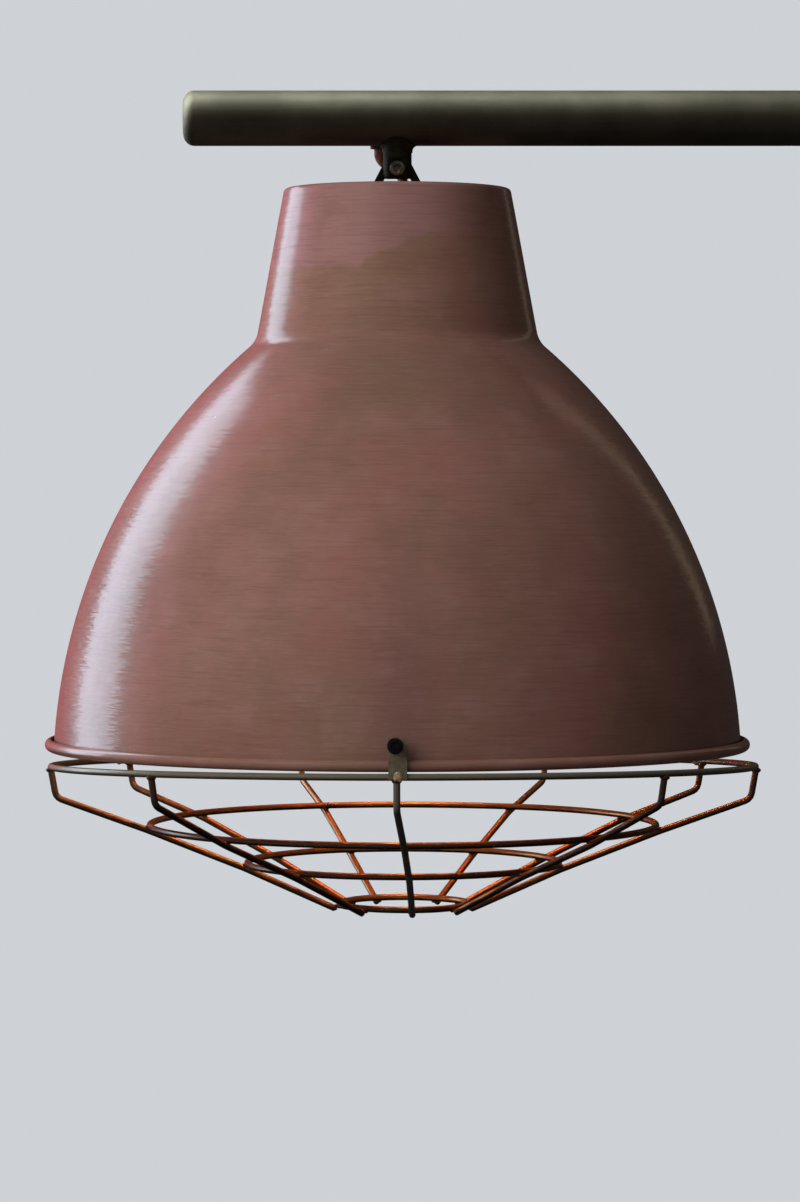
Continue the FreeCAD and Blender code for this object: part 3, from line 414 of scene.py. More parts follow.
def copper_shade():
    """Copper plate under a dark reddish-brown patina and a clear satin lacquer."""
    look = Look("copper_shade", {
        "Metallic": 0.22, "Anisotropic": 0.6, "Coat Weight": 0.8, "Coat Roughness": 0.19, "Coat IOR": 1.65,
        "Specular Tint": (1.0, 0.50, 0.46, 1), "Specular IOR Level": 0.3,
    })
    offset, radius, height = look.axis_parts(AXIS)
    lines = turned_lines(look, offset, radius, height, 34.0, 760.0, 3.0)
    fine = turned_lines(look, offset, radius, height, 90.0, 1900.0, 2.0)
    clouds = look.noise(offset, 7.0, 4.0, 0.55)
    patches = look.noise(look.moved(offset, offset=(3, 1, 2), scale=(1, 1, 0.7)), 16.0, 5.0, 0.6)
    stains = look.noise(look.moved(offset, offset=(1, 5, 3), scale=(0.8, 0.8, 1.1)), 42.0, 3.0, 0.55)
    base = look.tint((0.218, 0.113, 0.083), (0.286, 0.145, 0.113), clouds, 0.35, 0.65)
    base = look.tint(base, (0.300, 0.104, 0.086), patches, 0.50, 0.68, 0.40)
    base = look.tint(base, (0.212, 0.132, 0.084), patches, 0.50, 0.34, 0.48)
    base = neck_stain(look, offset, height, base)
    # Painted red reflection by the waist.
    base = painted_red_reflection(look, offset, base)
    # Painted dark reflection down the front of the dome.
    base = painted_front_reflection(look, offset, height, base)
    base = look.tint(base, (0.340, 0.200, 0.180), stains, 0.53, 0.68, 0.26)
    base = look.tint(base, (0.180, 0.096, 0.066), stains, 0.47, 0.34, 0.30)
    base = look.tint(base, (0.140, 0.070, 0.050), lines, 0.50, 0.72, 0.38)
    base = look.tint(base, (0.44, 0.28, 0.23), fine, 0.52, 0.74, 0.24)
    flecks = look.node("ShaderNodeTexVoronoi", {"Vector": offset, "Scale": 26.0}).outputs["Distance"]
    base = look.tint(base, (0.62, 0.50, 0.42), flecks, 0.018, 0.010, 0.9)
    look.set("Base Color", base)
    smudges = look.noise(look.moved(offset, scale=(1, 1, 0.6)), 34.0, 4.0, 0.6)
    rough = look.plus(look.ranged(smudges, 0.36, 0.50), look.ranged(lines, 0.0, 0.08))
    look.set("Roughness", rough)
    relief = look.plus(look.times(lines, 0.6), look.times(fine, 0.4))
    brushed, tangent = frayed(look, fine, 0.045)
    look.set("Normal", look.bump(relief, 0.00004, 0.4, brushed))
    look.set("Coat Normal", look.bump(relief, 0.00003, 0.3, brushed))
    look.set("Tangent", tangent)
    return look.material


def copper_inside():
    """The inside of the shade: the same plate, never patinated."""
    look = Look("copper_inside", {"Metallic": 1.0, "Anisotropic": 0.4})
    offset, radius, height = look.axis_parts(AXIS)
    lines = turned_lines(look, offset, radius, height, 9.0, 800.0, 4.0)
    clouds = look.noise(offset, 12.0, 4.0)
    base = look.tint((0.62, 0.30, 0.17), (0.74, 0.38, 0.23), clouds, 0.3, 0.7)
    look.set("Base Color", look.tint(base, (0.42, 0.19, 0.11), lines, 0.3, 0.75, 0.4))
    look.set("Roughness", look.ranged(lines, 0.30, 0.42))
    look.set("Normal", look.bump(lines, 0.00006, 0.6))
    return look.material


def wire_look(name, inner_glow, outer, under, metallic):
    """Drawn wire: a painted orange glow on its upper side and the side facing the axis, where the lit inside
    of the shade would reflect; its own colour outside; painted shade underneath.
    """
    look = Look(name, {"Metallic": metallic})
    offset = look.axis_parts(GUARD_AXIS)[0]
    inward = look.vector("NORMALIZE", look.moved(offset, scale=(-1, -1, 0)))
    normal = look.node("ShaderNodeTexCoord").outputs["Normal"]
    facing = look.measure("DOT_PRODUCT", normal, inward)
    rise = look.split(normal)[2]
    # Painted glow: strongest on faces that look up and towards the axis.
    glow_facing = look.plus(look.times(rise, 0.75), look.times(facing, 0.55))
    spots = look.noise(offset, 60.0, 4.0, 0.6)
    grain = look.noise(offset, 420.0, 3.0, 0.6)
    uneven_glow = look.plus(glow_facing, look.ranged(spots, -0.35, 0.35))
    # Painted glow over the wire's own colour.
    sides = look.tint(outer, inner_glow, uneven_glow, 0.05, 0.55)
    # Painted shade on the underside.
    dark = look.tint(sides, under, rise, -0.05, -0.60)
    worn = look.tint(dark, (0.42, 0.24, 0.14), grain, 0.60, 0.80, 0.5)
    look.set("Base Color", worn)
    look.set("Roughness", look.ranged(spots, 0.26, 0.44))
    look.set("Normal", look.bump(grain, 0.00005, 0.5))
    return look.material


def antique_bronze(name, light, dark, rough, coat):
    """Dark olive bronze over steel tube, with faint drawing lines along the bar."""
    look = Look(name, {"Metallic": 1.0, "Coat Weight": coat, "Coat Roughness": 0.45})
    place = look.place()
    streaks = look.noise(look.moved(place, scale=(6, 420, 420)), 1.0, 4.0, 0.6)
    clouds = look.noise(place, 24.0, 4.0, 0.6)
    pits = look.noise(place, 900.0, 2.0)
    base = look.tint(dark, light, clouds, 0.35, 0.65)
    base = look.tint(base, (0.130, 0.124, 0.086), streaks, 0.45, 0.75, 0.45)
    base = look.tint(base, (0.03, 0.028, 0.02), pits, 0.64, 0.78, 0.5)
    look.set("Base Color", base)
    look.set("Roughness", look.ranged(streaks, rough, rough + 0.10))
    look.set("Normal", look.bump(streaks, 0.00005, 0.5))
    return look.material


def machined(name, colour, dark, rough, metallic=1.0):
    """Small hardware: a base colour with grime in patches, and a fine grain."""
    look = Look(name, {"Metallic": metallic})
    place = look.place()
    grime = look.noise(place, 160.0, 4.0, 0.6)
    grain = look.noise(place, 700.0, 3.0, 0.6)
    look.set("Base Color", look.tint(colour, dark, grime, 0.42, 0.68))
    look.set("Roughness", look.ranged(grain, rough - 0.07, rough + 0.09))
    look.set("Normal", look.bump(grain, 0.00003, 0.5))
    return look.material


def porcelain():
    look = Look("porcelain", {"Coat Weight": 0.6, "Coat Roughness": 0.06, "Subsurface Weight": 0.05})
    place = look.place()
    clouds = look.noise(place, 60.0, 3.0)
    specks = look.noise(place, 1400.0, 1.0)
    base = look.tint((0.80, 0.79, 0.74), (0.86, 0.85, 0.81), clouds, 0.35, 0.65)
    look.set("Base Color", look.tint(base, (0.45, 0.40, 0.34), specks, 0.72, 0.80))
    look.set("Roughness", look.ranged(clouds, 0.20, 0.30))
    look.set("Normal", look.bump(clouds, 0.0002, 0.3))
    return look.material


def braided_cloth():
    """Dark red braided cloth over the flex; the mesh's UV runs round and along it."""
    look = Look("braided_cloth", {"Sheen Weight": 0.4, "Roughness": 0.85})
    u, v, _ = look.split(look.node("ShaderNodeUVMap").outputs["UV"])
    strands = []
    for slant in (1.0, -1.0):
        phase = look.plus(look.times(u, 8.0), look.times(v, 16.0 * slant))
        strands.append(look.math("SINE", look.times(phase, 2 * math.pi)))
    weave = look.math("MAXIMUM", strands[0], strands[1])
    fuzz = look.noise(look.place(), 3000.0, 2.0)
    base = look.tint((0.060, 0.012, 0.010), (0.210, 0.036, 0.032), weave, -0.2, 1.0)
    look.set("Base Color", look.tint(base, (0.32, 0.16, 0.14), fuzz, 0.5, 0.75, 0.3))
    look.set("Normal", look.bump(look.plus(weave, fuzz), 0.00012, 0.8))
    return look.material


def moulded(name, colour, rough=0.5):
    """Insulation, nylon and rubber: a fine moulded grain, slightly uneven in colour."""
    look = Look(name, {})
    place = look.place()
    grain = look.noise(place, 1500.0, 2.0)
    clouds = look.noise(place, 90.0, 3.0)
    darker = tuple(c * 0.7 for c in colour)
    look.set("Base Color", look.tint(colour, darker, clouds, 0.35, 0.7))
    look.set("Roughness", look.ranged(grain, rough - 0.08, rough + 0.1))
    look.set("Normal", look.bump(grain, 0.00002, 0.5))
    return look.material


def clear_glass():
    look = Look("clear_glass", {"Alpha": 0.22, "Coat Weight": 0.3, "Coat Roughness": 0.03})
    streaks = look.noise(look.moved(look.place(), scale=(1, 1, 0.3)), 70.0, 3.0)
    look.set("Base Color", look.tint((0.93, 0.90, 0.84), (0.98, 0.97, 0.95), streaks, 0.3, 0.7))
    look.set("Roughness", look.ranged(streaks, 0.02, 0.05))
    return look.material


def glowing_filament():
    look = Look("glowing_filament", {"Emission Strength": 14.0, "Roughness": 0.5})
    beads = look.noise(look.place(), 900.0, 1.0)
    colour = look.tint((1.0, 0.52, 0.16), (1.0, 0.70, 0.32), beads, 0.35, 0.65)
    look.set("Base Color", colour)
    look.set("Emission Color", colour)
    return look.material


def weld_metal():
    """Bright brassy bead of a brazed joint, with a heat-tinted edge."""
    look = Look("weld_metal", {"Metallic": 0.6})
    place = look.place()
    tint = look.noise(place, 500.0, 3.0)
    ripple = look.noise(place, 1400.0, 2.0)
    base = look.tint((0.34, 0.26, 0.15), (0.70, 0.56, 0.34), tint, 0.40, 0.62)
    look.set("Base Color", base)
    look.set("Roughness", look.ranged(ripple, 0.24, 0.42))
    look.set("Normal", look.bump(ripple, 0.00012, 0.7))
    return look.material


# Mesh helpers

def place_mesh(name, mesh, body, materials, nodes=()):
    piece = add_object(name, mesh)
    for material in materials:
        mesh.materials.append(material)
    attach(piece, body)
    if nodes:
        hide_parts(*nodes)


def smooth(mesh, sharp=None):
    """Smooth shading, with the edges over an angle in degrees kept sharp."""
    mesh.shade_smooth()
    if sharp:
        mesh.set_sharp_from_angle(angle=math.radians(sharp))
    return mesh


def mesh_from(vertices, faces, sharp=None):
    mesh = bpy.data.meshes.new("mesh")
    mesh.from_pydata(vertices, [], faces)
    mesh.validate()
    made = bmesh.new()
    made.from_mesh(mesh)
    bmesh.ops.recalc_face_normals(made, faces=made.faces)
    made.to_mesh(mesh)
    made.free()
    return smooth(mesh, sharp)


def place_shape(name, shape, body, material, nodes=(), sharp=None):
    """A piece of one material, from lists of vertices and faces."""
    place_mesh(name, mesh_from(*shape, sharp), body, [material], nodes)


def top_middle(node):
    """The middle of the top of a CAD piece's box."""
    low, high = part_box(node)
    return Vector(((low.x + high.x) / 2, (low.y + high.y) / 2, high.z))


def grid_faces(rows, columns, closed=False):
    """Faces between rows of points that each run round; closed joins the last row to the first."""
    faces = []
    for i in range(rows if closed else rows - 1):
        j = (i + 1) % rows
        for k in range(columns):
            m = (k + 1) % columns
            faces.append([i * columns + k, i * columns + m, j * columns + m, j * columns + k])
    return faces


def arc(centre, radius, start_deg, end_deg, steps):
    """Points (r, z) along an arc, both ends included."""
    points = []
    for i in range(steps + 1):
        a = math.radians(start_deg + (end_deg - start_deg) * i / steps)
        points.append((centre[0] + radius * math.cos(a), centre[1] + radius * math.sin(a)))
    return points


def straight(a, b, steps):
    return [(a[0] + (b[0] - a[0]) * i / steps, a[1] + (b[1] - a[1]) * i / steps) for i in range(steps + 1)]


def joined(*runs):
    """Runs of points end to end, without repeats where they meet."""
    points = []
    for run in runs:
        for p in run:
            if not points or math.dist(points[-1], p) > 1e-6:
                points.append(p)
    return points


def lathe(outline, segments, centre, warp=None, closed=True):
    """Turn an outline of (r, z) points about a vertical axis; points on the axis become one vertex each."""
    vertices = []
    rows = []
    for r, z in outline:
        if r < 1e-7:
            rows.append([len(vertices)] * segments)
            vertices.append(centre + up(z))
            continue
        row = []
        for i in range(segments):
            a = 2 * math.pi * i / segments
            shift = warp(a, r, z) if warp else 0.0
            row.append(len(vertices))
            vertices.append(centre + Vector(((r + shift) * math.cos(a), (r + shift) * math.sin(a), z)))
        rows.append(row)
    faces = []
    pairs = list(zip(rows, rows[1:])) + ([(rows[-1], rows[0])] if closed else [])
    for low, high in pairs:
        for i in range(segments):
            j = (i + 1) % segments
            corners = [low[i], low[j], high[j], high[i]]
            unique = list(dict.fromkeys(corners))
            if len(unique) > 2:
                faces.append(unique)
    return vertices, faces


def sweep(path, radius, sides, closed=False, round_end=False):
    """A round tube along points."""
    points = [Vector(p) for p in path]
    count = len(points)
    vertices = []
    across = None
    for i, p in enumerate(points):
        ahead = points[(i + 1) % count] if closed or i < count - 1 else p
        behind = points[i - 1] if closed or i > 0 else p
        tangent = (ahead - behind).normalized()
        if across is None:
            across = tangent.orthogonal().normalized()
        across = (across - tangent * across.dot(tangent)).normalized()
        other = tangent.cross(across)
        for k in range(sides):
            a = 2 * math.pi * k / sides
            vertices.append(p + (across * math.cos(a) + other * math.sin(a)) * radius)
    faces = grid_faces(count, sides, closed)
    if not closed:
        for row in (0, count - 1):
            middle = len(vertices)
            bulge = (points[-1] - points[-2]).normalized() * (radius if round_end and row else 0)
            vertices.append(points[row] + bulge)
            for k in range(sides):
                faces.append([row * sides + k, row * sides + (k + 1) % sides, middle])
    return vertices, faces


def rounded_path(corners, bends, step):
    """Points along straight runs joined by tangent arcs."""
    path = [corners[0]]
    for corner, behind, ahead, bend in zip(corners[1:-1], corners, corners[2:], bends):
        back = (behind - corner).normalized()
        onward = (ahead - corner).normalized()
        half = (math.pi - back.angle(onward)) / 2
        setback = bend * math.tan(half)
        enter, leave = corner + back * setback, corner + onward * setback
        middle = (back + onward).normalized()
        centre = corner + middle * (bend / math.cos(half))
        turns = max(3, int(2 * half * bend / step))
        runs = max(1, int((enter - path[-1]).length / step))
        start = path[-1]
        path += [start.lerp(enter, i / runs) for i in range(1, runs + 1)]
        sweep_turn = (enter - centre).rotation_difference(leave - centre)
        for i in range(1, turns + 1):
            turned = Quaternion(sweep_turn.axis, sweep_turn.angle * i / turns)
            path.append(centre + turned @ (enter - centre))
    start, end = path[-1], corners[-1]
    runs = max(1, int((end - start).length / step))
    return path + [start.lerp(end, i / runs) for i in range(1, runs + 1)]


def around(azimuth, r, z, centre=AXIS):
    """A point at an azimuth in degrees to the right of the front."""
    a = math.radians(azimuth)
    return centre + Vector((r * math.sin(a), -r * math.cos(a), z))


def softened(node, material, bevel=0.25 * MM, sharp=35):
    """A CAD piece with its edges broken, under a name of its own."""
    source = frame["nodes"][node].data
    made = bmesh.new()
    made.from_mesh(source)
    bmesh.ops.remove_doubles(made, verts=made.verts, dist=1e-6)
    bmesh.ops.dissolve_limit(made, angle_limit=math.radians(1.0), verts=made.verts, edges=made.edges)
    edges = [e for e in made.edges if len(e.link_faces) == 2 and e.calc_face_angle() > math.radians(sharp)]
    if bevel and edges:
        bmesh.ops.bevel(made, geom=edges, offset=bevel, segments=2, profile=0.6, affect="EDGES",
                        clamp_overlap=True)
    mesh = bpy.data.meshes.new(node + "_finished")
    made.to_mesh(mesh)
    made.free()
    place_mesh(node + "_finished", smooth(mesh, sharp), BODY[node], [material], [node])


# Shade

def waist_fillet():
    """Centre of the fillet that touches the neck's cone and the dome's arc from outside."""
    lean = math.atan(NECK_TAPER)
    r0 = NECK_TOP_R + WAIST_R / math.cos(lean) - DOME_CENTRE[0]
    z0 = TOP_Z - DOME_CENTRE[1]
    a = NECK_TAPER ** 2 + 1
    b = 2 * (NECK_TAPER * r0 - z0)
    c = r0 ** 2 + z0 ** 2 - (DOME_R + WAIST_R) ** 2
    s = (-b - math.sqrt(b * b - 4 * a * c)) / (2 * a)
    return r0 + DOME_CENTRE[0] + NECK_TAPER * s, TOP_Z - s


def shade_side(depth):
    """One face of the sheet, from the axis to the curl's lip."""
    lean = math.degrees(math.atan(NECK_TAPER))
    corner = (NECK_TOP_R + CORNER_R * NECK_TAPER - CORNER_R / math.cos(math.radians(lean)), TOP_Z - CORNER_R)
    fillet = waist_fillet()
    join = math.degrees(math.atan2(fillet[1] - DOME_CENTRE[1], fillet[0] - DOME_CENTRE[0]))
    middle_r = DOME_R - SHEET / 2
    rim = math.asin((RIM_Z - DOME_CENTRE[1]) / middle_r)
    curl_out = middle_r + CURL_R
    curl = (DOME_CENTRE[0] + curl_out * math.cos(rim), DOME_CENTRE[1] + curl_out * math.sin(rim))
    rim = math.degrees(rim)
    corner_arc = arc(corner, CORNER_R - depth, 90, lean, 6)
    waist_arc = arc(fillet, WAIST_R + depth, 180 + lean, 180 + join, 14)
    dome_arc = arc(DOME_CENTRE, DOME_R - depth, join, rim, 96)
    curl_arc = arc(curl, CURL_R - SHEET / 2 + depth, 180 + rim, 180 + rim + CURL_TURN, 26)
    flat = straight((0, TOP_Z - depth), corner_arc[0], 12)
    cone = straight(corner_arc[-1], waist_arc[0], 28)
    return joined(flat, corner_arc, cone, waist_arc, dome_arc, curl_arc)


DENTS = (
    # azimuth in degrees to the right of the front, height, radius and depth
    (24.0, -335 * MM, 26 * MM, 0.45 * MM),
    (-16.0, -262 * MM, 14 * MM, 0.25 * MM),
    (-40.0, -180 * MM, 30 * MM, 0.30 * MM),
    (55.0, -230 * MM, 34 * MM, 0.35 * MM),
    (140.0, -300 * MM, 30 * MM, 0.40 * MM),
    (-130.0, -250 * MM, 26 * MM, 0.35 * MM),
)


def shade_warp(angle, r, z):
    """How far the hand-spun sheet strays from a true form: slow waves, spinning ripples and a few dents."""
    place = Vector((math.cos(angle) * 2.2, math.sin(angle) * 2.2, z * 14))
    strength = min(1.0, max(0.0, (TOP_Z - z) / 0.02)) * min(1.0, max(0.0, (z - RIM_Z) / 0.02))
    drift = noise.noise(place) * 0.22 * MM
    drift += noise.noise(Vector((math.cos(angle), math.sin(angle), z * 160))) * 0.035 * MM
    for azimuth, height, size, depth in DENTS:
        a = math.radians(azimuth - 90)
        gap = Vector((math.cos(angle) - math.cos(a), math.sin(angle) - math.sin(a))).length * r
        away = math.hypot(gap, z - height) / size
        if away < 1:
            drift -= depth * (1 - away * away) ** 2
    return drift * strength


def make_shade(outside, inside):
    outline = shade_side(0) + shade_side(SHEET)[::-1]
    mesh = mesh_from(*lathe(outline, 240, AXIS, shade_warp, closed=False), 50)
    place_mesh("shade", mesh, BODY["shade_shell"], [outside, inside], ["shade_shell"])
    for face in mesh.polygons:
        centre = face.center - AXIS
        outward = Vector((centre.x, centre.y, 0)).dot(face.normal)
        on_curl = centre.z < RIM_Z + CURL_R * 1.5
        if not on_curl and (outward < 0 or face.normal.z < -0.9):
            face.material_index = 1


# Bar and stem

def along_x(outline, segments, closed=True):
    """Turn an outline of (r, x) points about the bar's axis."""
    vertices, faces = lathe(outline, segments, Vector(), closed=closed)
    turn = Matrix.Rotation(math.pi / 2, 4, "Y")
    return [turn @ v for v in vertices], faces


def drilled(mesh, holes):
    """A mesh with round holes taken out of it, each from one place to another at a radius."""
    whole = add_object("whole", mesh)
    cutters = []
    for start, end, radius in holes:
        cutter = add_object("cutter", mesh_from(*sweep([start, end], radius, 48)))
        cutters.append(cutter)
        hole = whole.modifiers.new("hole", "BOOLEAN")
        hole.object = cutter
        hole.solver = "EXACT"
    bpy.context.view_layer.update()
    finished = bpy.data.meshes.new_from_object(whole.evaluated_get(bpy.context.evaluated_depsgraph_get()))
    for helper in cutters + [whole]:
        bpy.data.objects.remove(helper)
    return smooth(finished, 40)


def make_bar(material):
    start_x = BAR_LO.x + 0.02 * MM
    end_x = BAR_HI.x
    edge = 0.5 * MM
    tube = joined(
        straight((BAR_R, start_x), (BAR_R, end_x - edge), 60),
        arc((BAR_R - edge, end_x - edge), edge, 0, 90, 4),
        straight((BAR_BORE_R, end_x), (BAR_BORE_R, start_x), 40),
    )
    holes = []
    for node, radius in (("bar_grommet", GROMMET_HOLE_R), ("socket_grub_screw", GRUB_HOLE_R)):
        place = top_middle(node)
        place.z = 0
        holes.append((place, place - up(2 * BAR_R), radius))
    mesh = drilled(mesh_from(*along_x(tube, 96), 40), holes)
    place_mesh("bar", mesh, "bar", [material], ["bar_tube"])


def make_bar_cap(material):
    low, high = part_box("bar_end_cap")
    cap_x = BAR_LO.x
    spigot_r = BAR_BORE_R - 0.05 * MM
    hollow_r = spigot_r - 2 * MM
    hollow_x = low.x + 4 * MM
    cap = joined(
        straight((0, low.x), (BAR_R - CAP_EDGE_R, low.x), 6),
        arc((BAR_R - CAP_EDGE_R, low.x + CAP_EDGE_R), CAP_EDGE_R, -90, 0, 14),
        [(BAR_R, cap_x), (spigot_r, cap_x), (spigot_r, high.x), (hollow_r, high.x)],
        [(hollow_r, hollow_x), (0, hollow_x)],
    )
    shape = along_x(cap, 96, closed=False)
    place_shape("bar_cap", shape, "bar", material, ["bar_end_cap"], 40)


def make_stem_weld(material):
    """The concave bead that joins the stem to the round of the bar."""
    vertices = []
    turns, steps = 72, 8
    for i in range(turns):
        a = 2 * math.pi * i / turns
        wave = 1 + 0.10 * noise.noise(Vector((math.cos(a) * 3, math.sin(a) * 3, 7)))
        reach = STEM_WELD * wave
        for k in range(steps + 1):
            t = math.pi / 2 * k / steps
            r = STEM_R + reach * (1 - math.cos(t)) - 0.1 * MM
            y = r * math.sin(a)
            bar_z = -math.sqrt(BAR_R ** 2 - y * y)
            z = bar_z - reach * (1 - math.sin(t)) + 0.1 * MM
            vertices.append(AXIS + Vector((r * math.cos(a), y, z)))
        y = (STEM_R - 1.5 * MM) * math.sin(a)
        bury = Vector(((STEM_R - 1.5 * MM) * math.cos(a), y, -math.sqrt(BAR_R ** 2 - y * y) + 1.0 * MM))
        vertices.append(AXIS + bury)
    shape = (vertices, grid_faces(turns, steps + 2, closed=True))
    place_shape("stem_weld", shape, "bar", material)


SCREW_SIDES = 72


def screw_row(radius_at, z):
    """One row of a screw's points, at a radius that may change round it."""
    row = []
    for i in range(SCREW_SIDES):
        a = 2 * math.pi * i / SCREW_SIDES
        r = radius_at(i, a)
        row.append(Vector((r * math.cos(a), r * math.sin(a), z)))
    return row


def round_row(radius, z, knurl=0.0):
    return screw_row(lambda i, a: radius + (knurl if i % 2 else -knurl), z)


def hexagon_row(flats, z):
    return screw_row(lambda i, a: flats / 2 / math.cos((a + math.pi / 6) % (math.pi / 3) - math.pi / 6), z)


def thread_rows(shank_r, length, pitch=0.8 * MM):
    def radius_at(i, a):
        groove = 0.5 + 0.5 * math.cos(2 * math.pi * (z / pitch) + a)
        return shank_r - 0.30 * MM * groove * min(1.0, -z / (2 * MM))

    rows = []
    turns = int(length / pitch) * 4
    for k in range(1, turns):
        z = -length * k / turns
        rows.append(screw_row(radius_at, z))
    return rows


def socket_screw(matrix, head_h, shank_length):
    """An M5 cap screw pointing along -Z from its seat at the origin: knurled head, hexagon socket, thread."""
    rows = [
        round_row(0.02 * MM, head_h - 3.0 * MM),
        hexagon_row(M5_KEY, head_h - 2.5 * MM),
        hexagon_row(M5_KEY, head_h - 0.35 * MM),
        round_row(M5_KEY / 2 * 1.22, head_h),
        round_row(M5_HEAD_R - 0.55 * MM, head_h),
        round_row(M5_HEAD_R - 0.15 * MM, head_h - 0.2 * MM),
        round_row(M5_HEAD_R, head_h - 0.7 * MM),
        round_row(M5_HEAD_R - 0.06 * MM, head_h - 0.9 * MM, 0.06 * MM),
        round_row(M5_HEAD_R - 0.06 * MM, 0.5 * MM, 0.06 * MM),
        round_row(M5_HEAD_R - 0.2 * MM, 0.0),
        round_row(M5_R, 0.0),
        *thread_rows(M5_R, shank_length),
        round_row(M5_R - 0.5 * MM, -shank_length),
        round_row(0.02 * MM, -shank_length),
    ]
    faces = grid_faces(len(rows), SCREW_SIDES)
    for row in (0, len(rows) - 1):
        faces.append([row * SCREW_SIDES + k for k in range(SCREW_SIDES)])
    return [matrix @ p for points in rows for p in points], faces


def add_shapes(shapes):
    """One list of vertices and one of faces from several."""
    vertices, faces = [], []
    for more_vertices, more_faces in shapes:
        base = len(vertices)
        vertices += more_vertices
        faces += [[base + i for i in face] for face in more_faces]
    return vertices, faces


def facing(azimuth, place):
    """A frame at a place whose +Z points outward at an azimuth."""
    a = math.radians(azimuth)
    outward = Vector((math.sin(a), -math.cos(a), 0))
    return Matrix.Translation(place) @ outward.to_track_quat("Z", "Y").to_matrix().to_4x4()


def make_screws(material, worn):
    shapes = []
    for azimuth in TABS.values():
        seat = around(azimuth, TAB_FACE_R + TAB_T + SEAT_GAP, TAB_SCREW_Z)
        shapes.append(socket_screw(facing(azimuth, seat), M5_HEAD_H - SEAT_GAP, TAB_SHANK))
    place_shape("tab_screws", add_shapes(shapes), "pendant", material, ["guard_screws"], 30)
    seat = AXIS + Vector((0, -FORK_HALF, PIVOT_Z))
    shape = socket_screw(facing(0, seat), M5_HEAD_H, PIVOT_SHANK)
    place_shape("pivot_screw", shape, "bar", worn, ["pivot_bolt"], 30)


# Guard

def ring_centre(node):
    low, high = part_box(node)
    return (high.x - low.x) / 2 - WIRE_R, (high.z + low.z) / 2


def ring_path(node, tilt):
    """A hand-rolled ring, a little out of round and out of flat."""
    radius, level = ring_centre(node)
    count = max(120, int(radius * 1300))
    path = []
    for i in range(count):
        a = 2 * math.pi * i / count
        wobble = noise.noise(Vector((math.cos(a) * 1.6, math.sin(a) * 1.6, level * 50)))
        lift = noise.noise(Vector((math.cos(a) * 1.3, math.sin(a) * 1.3, level * 50 + 9)))
        r = radius - 0.25 * MM + wobble * 0.35 * MM
        y = -r * math.cos(a)
        z = level - y * math.sin(tilt) + lift * 0.25 * MM
        path.append(GUARD_AXIS + Vector((r * math.sin(a), y * math.cos(tilt), z)))
    return path


def top_ring_z(azimuth):
    radius, level = ring_centre("guard_ring_top")
    return level + radius * math.cos(math.radians(azimuth)) * math.sin(TOP_RING_TILT)


def under(azimuth, node):
    """Where a strut passes just outside and below a ring."""
    radius, level = ring_centre(node)
    gap = 2 * WIRE_R - WELD_SET
    r = radius + gap * math.sin(STRUT_SLOPE)
    return around(azimuth, r, level - gap * math.cos(STRUT_SLOPE), GUARD_AXIS)


def strut_corners(name):
    top, upper, lower, bottom, bend_z = STRUTS[name]
    end = under(bottom, "guard_ring_bottom")
    lift = (STRUT_END_R - (end - GUARD_AXIS).xy.length) * math.tan(STRUT_SLOPE)
    top_r = ring_centre("guard_ring_top")[0]
    return [
        around(top, top_r, top_ring_z(top) - WIRE_R + WELD_SET, GUARD_AXIS),
        around(top, STRUT_BEND_R, bend_z, GUARD_AXIS),
        under(upper, "guard_ring_upper"),
        under(lower, "guard_ring_lower"),
        around(bottom, STRUT_END_R, end.z + lift, GUARD_AXIS),
    ]


def make_guard(wire, bronze):
    # The top ring, in the rim's shadow, and the front strut take the bronze wire look, whose painted glow is
    # weaker.
    for node in RING_NODES:
        top = node == "guard_ring_top"
        shape = sweep(ring_path(node, TOP_RING_TILT if top else 0.0), WIRE_R, 18, closed=True)
        place_shape(node + "_wire", shape, "guard", bronze if top else wire, [node])
    for name in STRUTS:
        path = rounded_path(strut_corners(name), (6 * MM, 60 * MM, 60 * MM), 2.0 * MM)
        shape = sweep(path, WIRE_R, 18, round_end=True)
        node = "guard_strut_" + name
        look = bronze if name == "front" else wire
        place_shape(node + "_wire", shape, "guard", look, [node])


def bead(place, normal, width, depth, seed):
    """One lump of weld: a flattened, uneven ball."""
    made = bmesh.new()
    bmesh.ops.create_icosphere(made, subdivisions=3, radius=1.0)
    turn = normal.to_track_quat("Z", "Y").to_matrix()
    vertices = []
    for v in made.verts:
        rough = 1 + 0.16 * noise.noise(v.co * 1.7 + Vector((seed * 3.1, seed * 1.7, 0)))
        lump = turn @ Vector((v.co.x * width, v.co.y * width, v.co.z * depth))
        vertices.append(place + lump * rough)
    faces = [[v.index for v in f.verts] for f in made.faces]
    made.free()
    return vertices, faces


def strut_beads():
    """A bead where each strut meets the top ring, and one at each crossing below it."""
    beads = []
    for name, (_, upper, lower, bottom, _) in STRUTS.items():
        head = strut_corners(name)[0] - up(0.5 * MM)
        beads.append(bead(head, up(1), *TOP_BEAD, seed=len(beads) + 1))
        for azimuth, node in zip((upper, lower, bottom), RING_NODES[1:]):
            radius, level = ring_centre(node)
            strut = under(azimuth, node)
            crossing = strut.lerp(around(azimuth, radius, level, GUARD_AXIS), 0.5)
            beads.append(bead(crossing, crossing - strut, *CROSSING_BEAD, seed=len(beads) + 1))
    return beads


def tab_bead(tab, seed):
    low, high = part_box("guard_tab_" + tab)
    middle = (low + high) / 2 - AXIS
    out = Vector((middle.x, middle.y, 0)).normalized()
    foot_r = min(middle.xy.length, TAB_FACE_R + 0.2 * MM)
    foot = AXIS + out * (foot_r + 0.6 * MM) + up(low.z + 1.4 * MM)
    return bead(foot, out, *TAB_BEAD, seed=seed)


def make_welds(material, bright):
    beads = strut_beads()
    tab_beads = [tab_bead(tab, len(beads) + i) for i, tab in enumerate(TABS, start=1)]
    place_shape("guard_welds", add_shapes(beads), "guard", material)
    place_shape("tab_welds", add_shapes(tab_beads), "guard", bright)


# Flex

